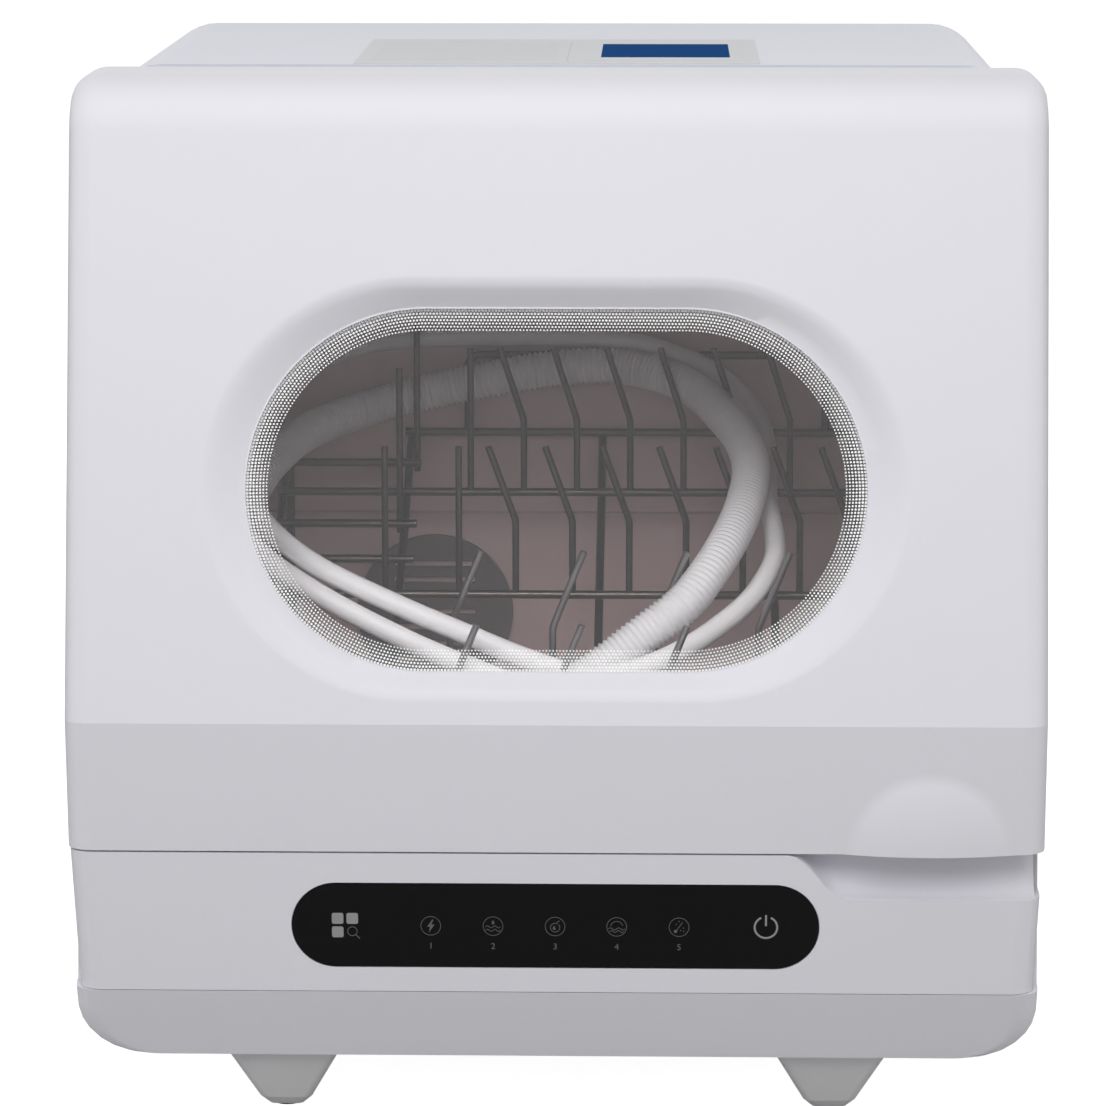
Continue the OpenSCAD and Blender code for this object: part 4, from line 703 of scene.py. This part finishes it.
tray = skin_of("base_tray", TRAY_ANGLE)
for vert in tray.data.vertices:
    z, reach = vert.co.z / MM, abs(vert.co.x) / MM
    old, new = tray_half(z, OLD_CORNER, OLD_HALF), tray_half(z, NEW_CORNER, NEW_HALF)
    share = max(0, min(1, (reach - FIXED_HALF) / (old - FIXED_HALF)))
    vert.co.x += math.copysign((new - old) * share * MM, vert.co.x)

for node, angle in SKIN_ANGLES.items():
    skin_of(node, angle)

# %% [markdown]
# Under the domed bulge the fascia dips, so that fingers reach the door's edge. A shallow scoop closes
# the dip at the back. It starts as a flat grid, and each point is moved to the hollow's curve: level
# at the front lip, upright under the door. The left end follows the soft step of the fascia.

# %% Finger scoop in the fascia
DIP_X, DIP_RUN, DIP_DROP, FASCIA_TOP, LIP_OVER = 100, 25, 20, 126.5, 0.15
SCOOP_FROM, SCOOP_TO, SCOOP_TOP, SCOOP_DEEP, LIP_Y = 103.5, 206, 126.2, 15, -200.3
CORNER_X, CORNER_R, SCOOP_WALL, SCOOP_ANGLE = 198.6, 10.5, 1.2, 50


def scoop_point(co):
    """Where a point of the unit grid goes on the scoop."""
    x = SCOOP_FROM + (SCOOP_TO - SCOOP_FROM) * (co.x + 0.5)
    t = min(1, (x - DIP_X) / DIP_RUN)
    lip = FASCIA_TOP - DIP_DROP * (1 - math.cos(math.pi * t)) / 2 + LIP_OVER
    turn = (co.y + 0.5) * math.pi / 2
    past = max(0, x - CORNER_X)
    y = LIP_Y + CORNER_R - math.sqrt(CORNER_R**2 - past**2) + SCOOP_DEEP * math.sin(turn)
    return Vector((x, y, lip + (SCOOP_TOP - lip) * (1 - math.cos(turn)))) * MM


pick()
bpy.ops.mesh.primitive_grid_add(x_subdivisions=60, y_subdivisions=14, size=1)
scoop = bpy.context.object
for vert in scoop.data.vertices:
    vert.co = scoop_point(vert.co)
modify(scoop, "SOLIDIFY", thickness=SCOOP_WALL * MM, offset=-1)
dress(scoop, "finger_scoop", "root", FINISHES["white_gloss"])
smooth(scoop, SCOOP_ANGLE)
print("finger scoop:", len(scoop.data.polygons), "faces")

# %% [markdown]
# The edge of the glass carries a printed border of small white dots that shrink inwards. One dot is
# modelled, repeated along a line and wrapped round the window's outline, once a row. Every second row
# starts half a step further on. The dots also glow faintly, as painted light that keeps them bright in
# the shade of the window's recess.

# %% Printed dots round the glass
DOT_PITCH, FIRST_ROW, ROW_PITCH, DOT_SIDES = 1.45 * MM, 0.4, 1.4, 8
DOT_R = (0.60, 0.56, 0.53, 0.50, 0.47, 0.43, 0.38)
DOT_PROUD = 0.05 * MM


def dot_row(inwards, dot_r, stagger):
    """One ring of dots, this far inside the edge, turned on by a share of a step."""
    outline = racetrack(GLASS_HALF, GLASS_R - inwards)
    around = 4 * GLASS_HALF + 2 * math.pi * (GLASS_R - inwards)
    count = round(around / DOT_PITCH)
    bpy.ops.object.convert(target="CURVE")
    outline = bpy.context.object
    pick()
    bpy.ops.mesh.primitive_circle_add(vertices=DOT_SIDES, radius=dot_r, fill_type="NGON")
    dot = bpy.context.object
    repeat(dot, count, around / count)
    dot.data.transform(Matrix.Translation((stagger * around / count, 0, 0)))
    modify(dot, "CURVE", object=outline, deform_axis="POS_X")
    bpy.data.objects.remove(outline)
    return dot


dots = join([dot_row((FIRST_ROW + ROW_PITCH * i) * MM, dot_r * MM, i % 2 / 2)
    for i, dot_r in enumerate(DOT_R)])
dots.data.transform(DOOR_FACE @ Matrix.Translation((0, WINDOW_UP, -GLASS_DEEP + DOT_PROUD)))
# The white print has a faint glow: painted light, so the dots stay bright in the recess's shade.
FINISHES["print_white_painted_glow"] = moulded("print_white_painted_glow", (0.95, 0.95, 0.95), 0.5, 900, 0.002, 0.02,
    Emission_Color=(1, 1, 1, 1), Emission_Strength=0.12)
dress(dots, "glass_dot_print", "door", FINISHES["print_white_painted_glow"])
print("printed dots:", len(dots.data.polygons))

# %% [markdown]
# The symbols on the dark lens are printed in two greys. Each one is drawn as strokes, as with a pen: a
# curve through a few points with a round section, made a mesh and pressed flat. Closed shapes are
# filled instead.

# %% Pen strokes and filled shapes
INK = 0.06 * MM


def arc(x, y, radius, start, end, steps=24):
    """Points on a part of a circle, in millimetres, with the angles in degrees."""
    turns = [math.radians(start + (end - start) * k / steps) for k in range(steps + 1)]
    return [(x + radius * math.cos(t), y + radius * math.sin(t)) for t in turns]


def stroke(points, width):
    """A pen line through the points, pressed to ink thickness."""
    curve = path_curve("stroke", [(x * MM, y * MM, 0) for x, y in points])
    curve.data.bevel_depth = width / 2 * MM
    curve.data.bevel_resolution = 1
    curve.data.use_fill_caps = True
    pick(curve)
    bpy.ops.object.convert(target="MESH")
    pen = bpy.context.object
    pen.data.transform(Matrix.Diagonal((1, 1, INK / (width * MM), 1)))
    return pen


def filled(points):
    """A flat shape with this outline, and ink thickness."""
    curve = path_curve("shape", [(x * MM, y * MM, 0) for x, y in points])
    curve.data.dimensions, curve.data.fill_mode = "2D", "BOTH"
    curve.data.splines[0].use_cyclic_u = True
    curve.data.extrude = INK / 2
    pick(curve)
    bpy.ops.object.convert(target="MESH")
    return bpy.context.object


def rounded_square(x, y, side, corner, tall=None):
    """The outline of a square, or of a rectangle if its height is given, with round corners."""
    w, h = side / 2 - corner, (tall or side) / 2 - corner
    points = []
    for sx, sy, start in ((1, 1, 0), (-1, 1, 90), (-1, -1, 180), (1, -1, 270)):
        points += arc(x + sx * w, y + sy * h, corner, start, start + 90, 6)
    return points


def figure(text, x, y, size):
    """A number with ink thickness."""
    pick()
    bpy.ops.object.text_add()
    words = bpy.context.object
    words.data.body = text
    words.data.size = size * MM
    words.data.align_x, words.data.align_y = "CENTER", "CENTER"
    words.data.extrude = INK / 2
    bpy.ops.object.convert(target="MESH")
    words = bpy.context.object
    words.data.transform(Matrix.Translation((x * MM, y * MM, 0)))
    return words


# %% [markdown]
# Five programmes stand in a row, each with its ring, its symbol and a plain number below. The key at
# the left is three rounded squares with a small ring and handle, and the power key is at the right.

# %% Symbols of the control panel
RING_R, SYMBOL_UP, FIGURE_UP, FIGURE_SIZE = 4.25, -0.2, -9.5, 3.9
PEN, RING_PEN, INK_PROUD = 0.3, 0.28, 0.04
PROGRAMMES = (-53.5, -26.7, 0, 26.5, 53.3)


def wave(x, y, half, height=0.5):
    """Two waves side by side."""
    return [(x - half + half * k / 6, y + height * math.sin(math.pi * k / 3)) for k in range(13)]


def drop(x, y, r):
    """A drop with its point up."""
    return arc(x, y, r, -210, 30, 16) + [(x, y + 2.2 * r)]


faint = [stroke(arc(x, SYMBOL_UP, RING_R, 0, 360, 48), RING_PEN) for x in PROGRAMMES]
bolt, waves, apple, bowl, spray = PROGRAMMES
faint += [filled([(bolt + x, SYMBOL_UP + y) for x, y in
    ((0.6, 2.9), (-1.6, -0.4), (-0.3, -0.4), (-0.9, -3.1), (1.6, 0.6), (0.2, 0.6), (1.2, 2.9))])]
faint += [stroke(wave(waves, SYMBOL_UP + y, 3.2), PEN) for y in (-0.3, -1.9)]
faint += [filled(drop(waves, SYMBOL_UP + 1.5, 0.6))]
stem = [(apple + x, SYMBOL_UP + y) for x, y in ((0.6, 1.2), (1.0, 2.1), (1.9, 2.6))]
faint += [stroke(arc(apple, SYMBOL_UP - 0.5, 2.0, 60, 405), PEN), stroke(stem, PEN),
    filled(drop(apple - 0.4, SYMBOL_UP - 0.9, 0.6))]
faint += [stroke(arc(bowl, SYMBOL_UP - 0.2, 2.7, 15, 165), PEN),
    stroke(wave(bowl, SYMBOL_UP - 0.9, 3.6), PEN), stroke(wave(bowl, SYMBOL_UP - 2.1, 2.9), PEN)]
faint += [stroke([(spray - 0.9, SYMBOL_UP - 1.2), (spray + 1.5, SYMBOL_UP + 2.2)], PEN),
    filled(arc(spray - 1.5, SYMBOL_UP - 1.9, 0.75, 0, 345, 20))]
faint += [filled(arc(spray + x, SYMBOL_UP + y, 0.25, 0, 330, 10))
    for x, y in ((1.9, -0.4), (0.7, -1.5), (2.0, -1.9), (-1.2, 1.3), (0.0, 2.6))]
faint += [stroke(arc(-87.3, -2.9, 2.05, 0, 360, 36), 0.36), stroke([(-85.9, -4.4), (-84.1, -6.2)], 0.42)]
faint += [figure(str(k + 1), x, FIGURE_UP, FIGURE_SIZE) for k, x in enumerate(PROGRAMMES)]
bright = [filled(rounded_square(x, y, 5.0, 0.9)) for x, y in ((-93.6, 3.0), (-87.3, 3.0), (-93.6, -3.2))]
bright += [stroke(arc(90.6, -0.1, 4.85, 115, 425, 60), 0.9), stroke([(90.6, 0.6), (90.6, 5.6)], 0.9)]
FINISHES["ink_faint"] = moulded("ink_faint", (0.115, 0.115, 0.12), 0.5, 900, 0.002, 0.1)
FINISHES["ink_bright"] = moulded("ink_bright", (0.30, 0.30, 0.30), 0.5, 900, 0.002, 0.1)
for name, parts, ink in (("lens_symbols", faint, "ink_faint"), ("lens_keys", bright, "ink_bright")):
    inked = join(parts)
    inked.data.transform(LENS_FACE @ Matrix.Translation((0, 0, INK_PROUD * MM)))
    dress(inked, name, "root", FINISHES[ink])
    print(name, len(inked.data.polygons), "faces")

# %% [markdown]
# A thin pale film lies on the top of the housing. It has a dividing line, a plain blue panel and faint
# ruled lines, each a flat shape that lies on the film.

# %% Plain print on the top film
FILM_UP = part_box("top_label")[1].z / MM
RULES, RULE_PITCH, RULE_TOP = 10, 11, 52
rules = [filled(rounded_square(2.2, -8, 0.7, 0.1, 118))]
rules += [filled(rounded_square(-44, RULE_TOP - RULE_PITCH * k, 82, 0.2, 0.9)) for k in range(1, RULES + 1)]
rules += [filled(rounded_square(-44, 54, 26, 0.5, 2.4)), filled(rounded_square(46, -62, 74, 0.2, 0.9))]
panel = [filled(rounded_square(46, -2, 58, 0.6, 82))]
FINISHES["ink_rules"] = moulded("ink_rules", (0.50, 0.50, 0.52), 0.4, 600, 0.004, 0.1)
FINISHES["ink_blue"] = moulded("ink_blue", (0.022, 0.085, 0.27), 0.6, 600, 0.004, 0.1,
    Specular_IOR_Level=0.0)
for name, parts, ink in (("film_rules", rules, "ink_rules"), ("film_panel", panel, "ink_blue")):
    inked = join(parts)
    inked.data.transform(Matrix.Translation((0, 0, FILM_UP * MM)))
    dress(inked, name, "root", FINISHES[ink])
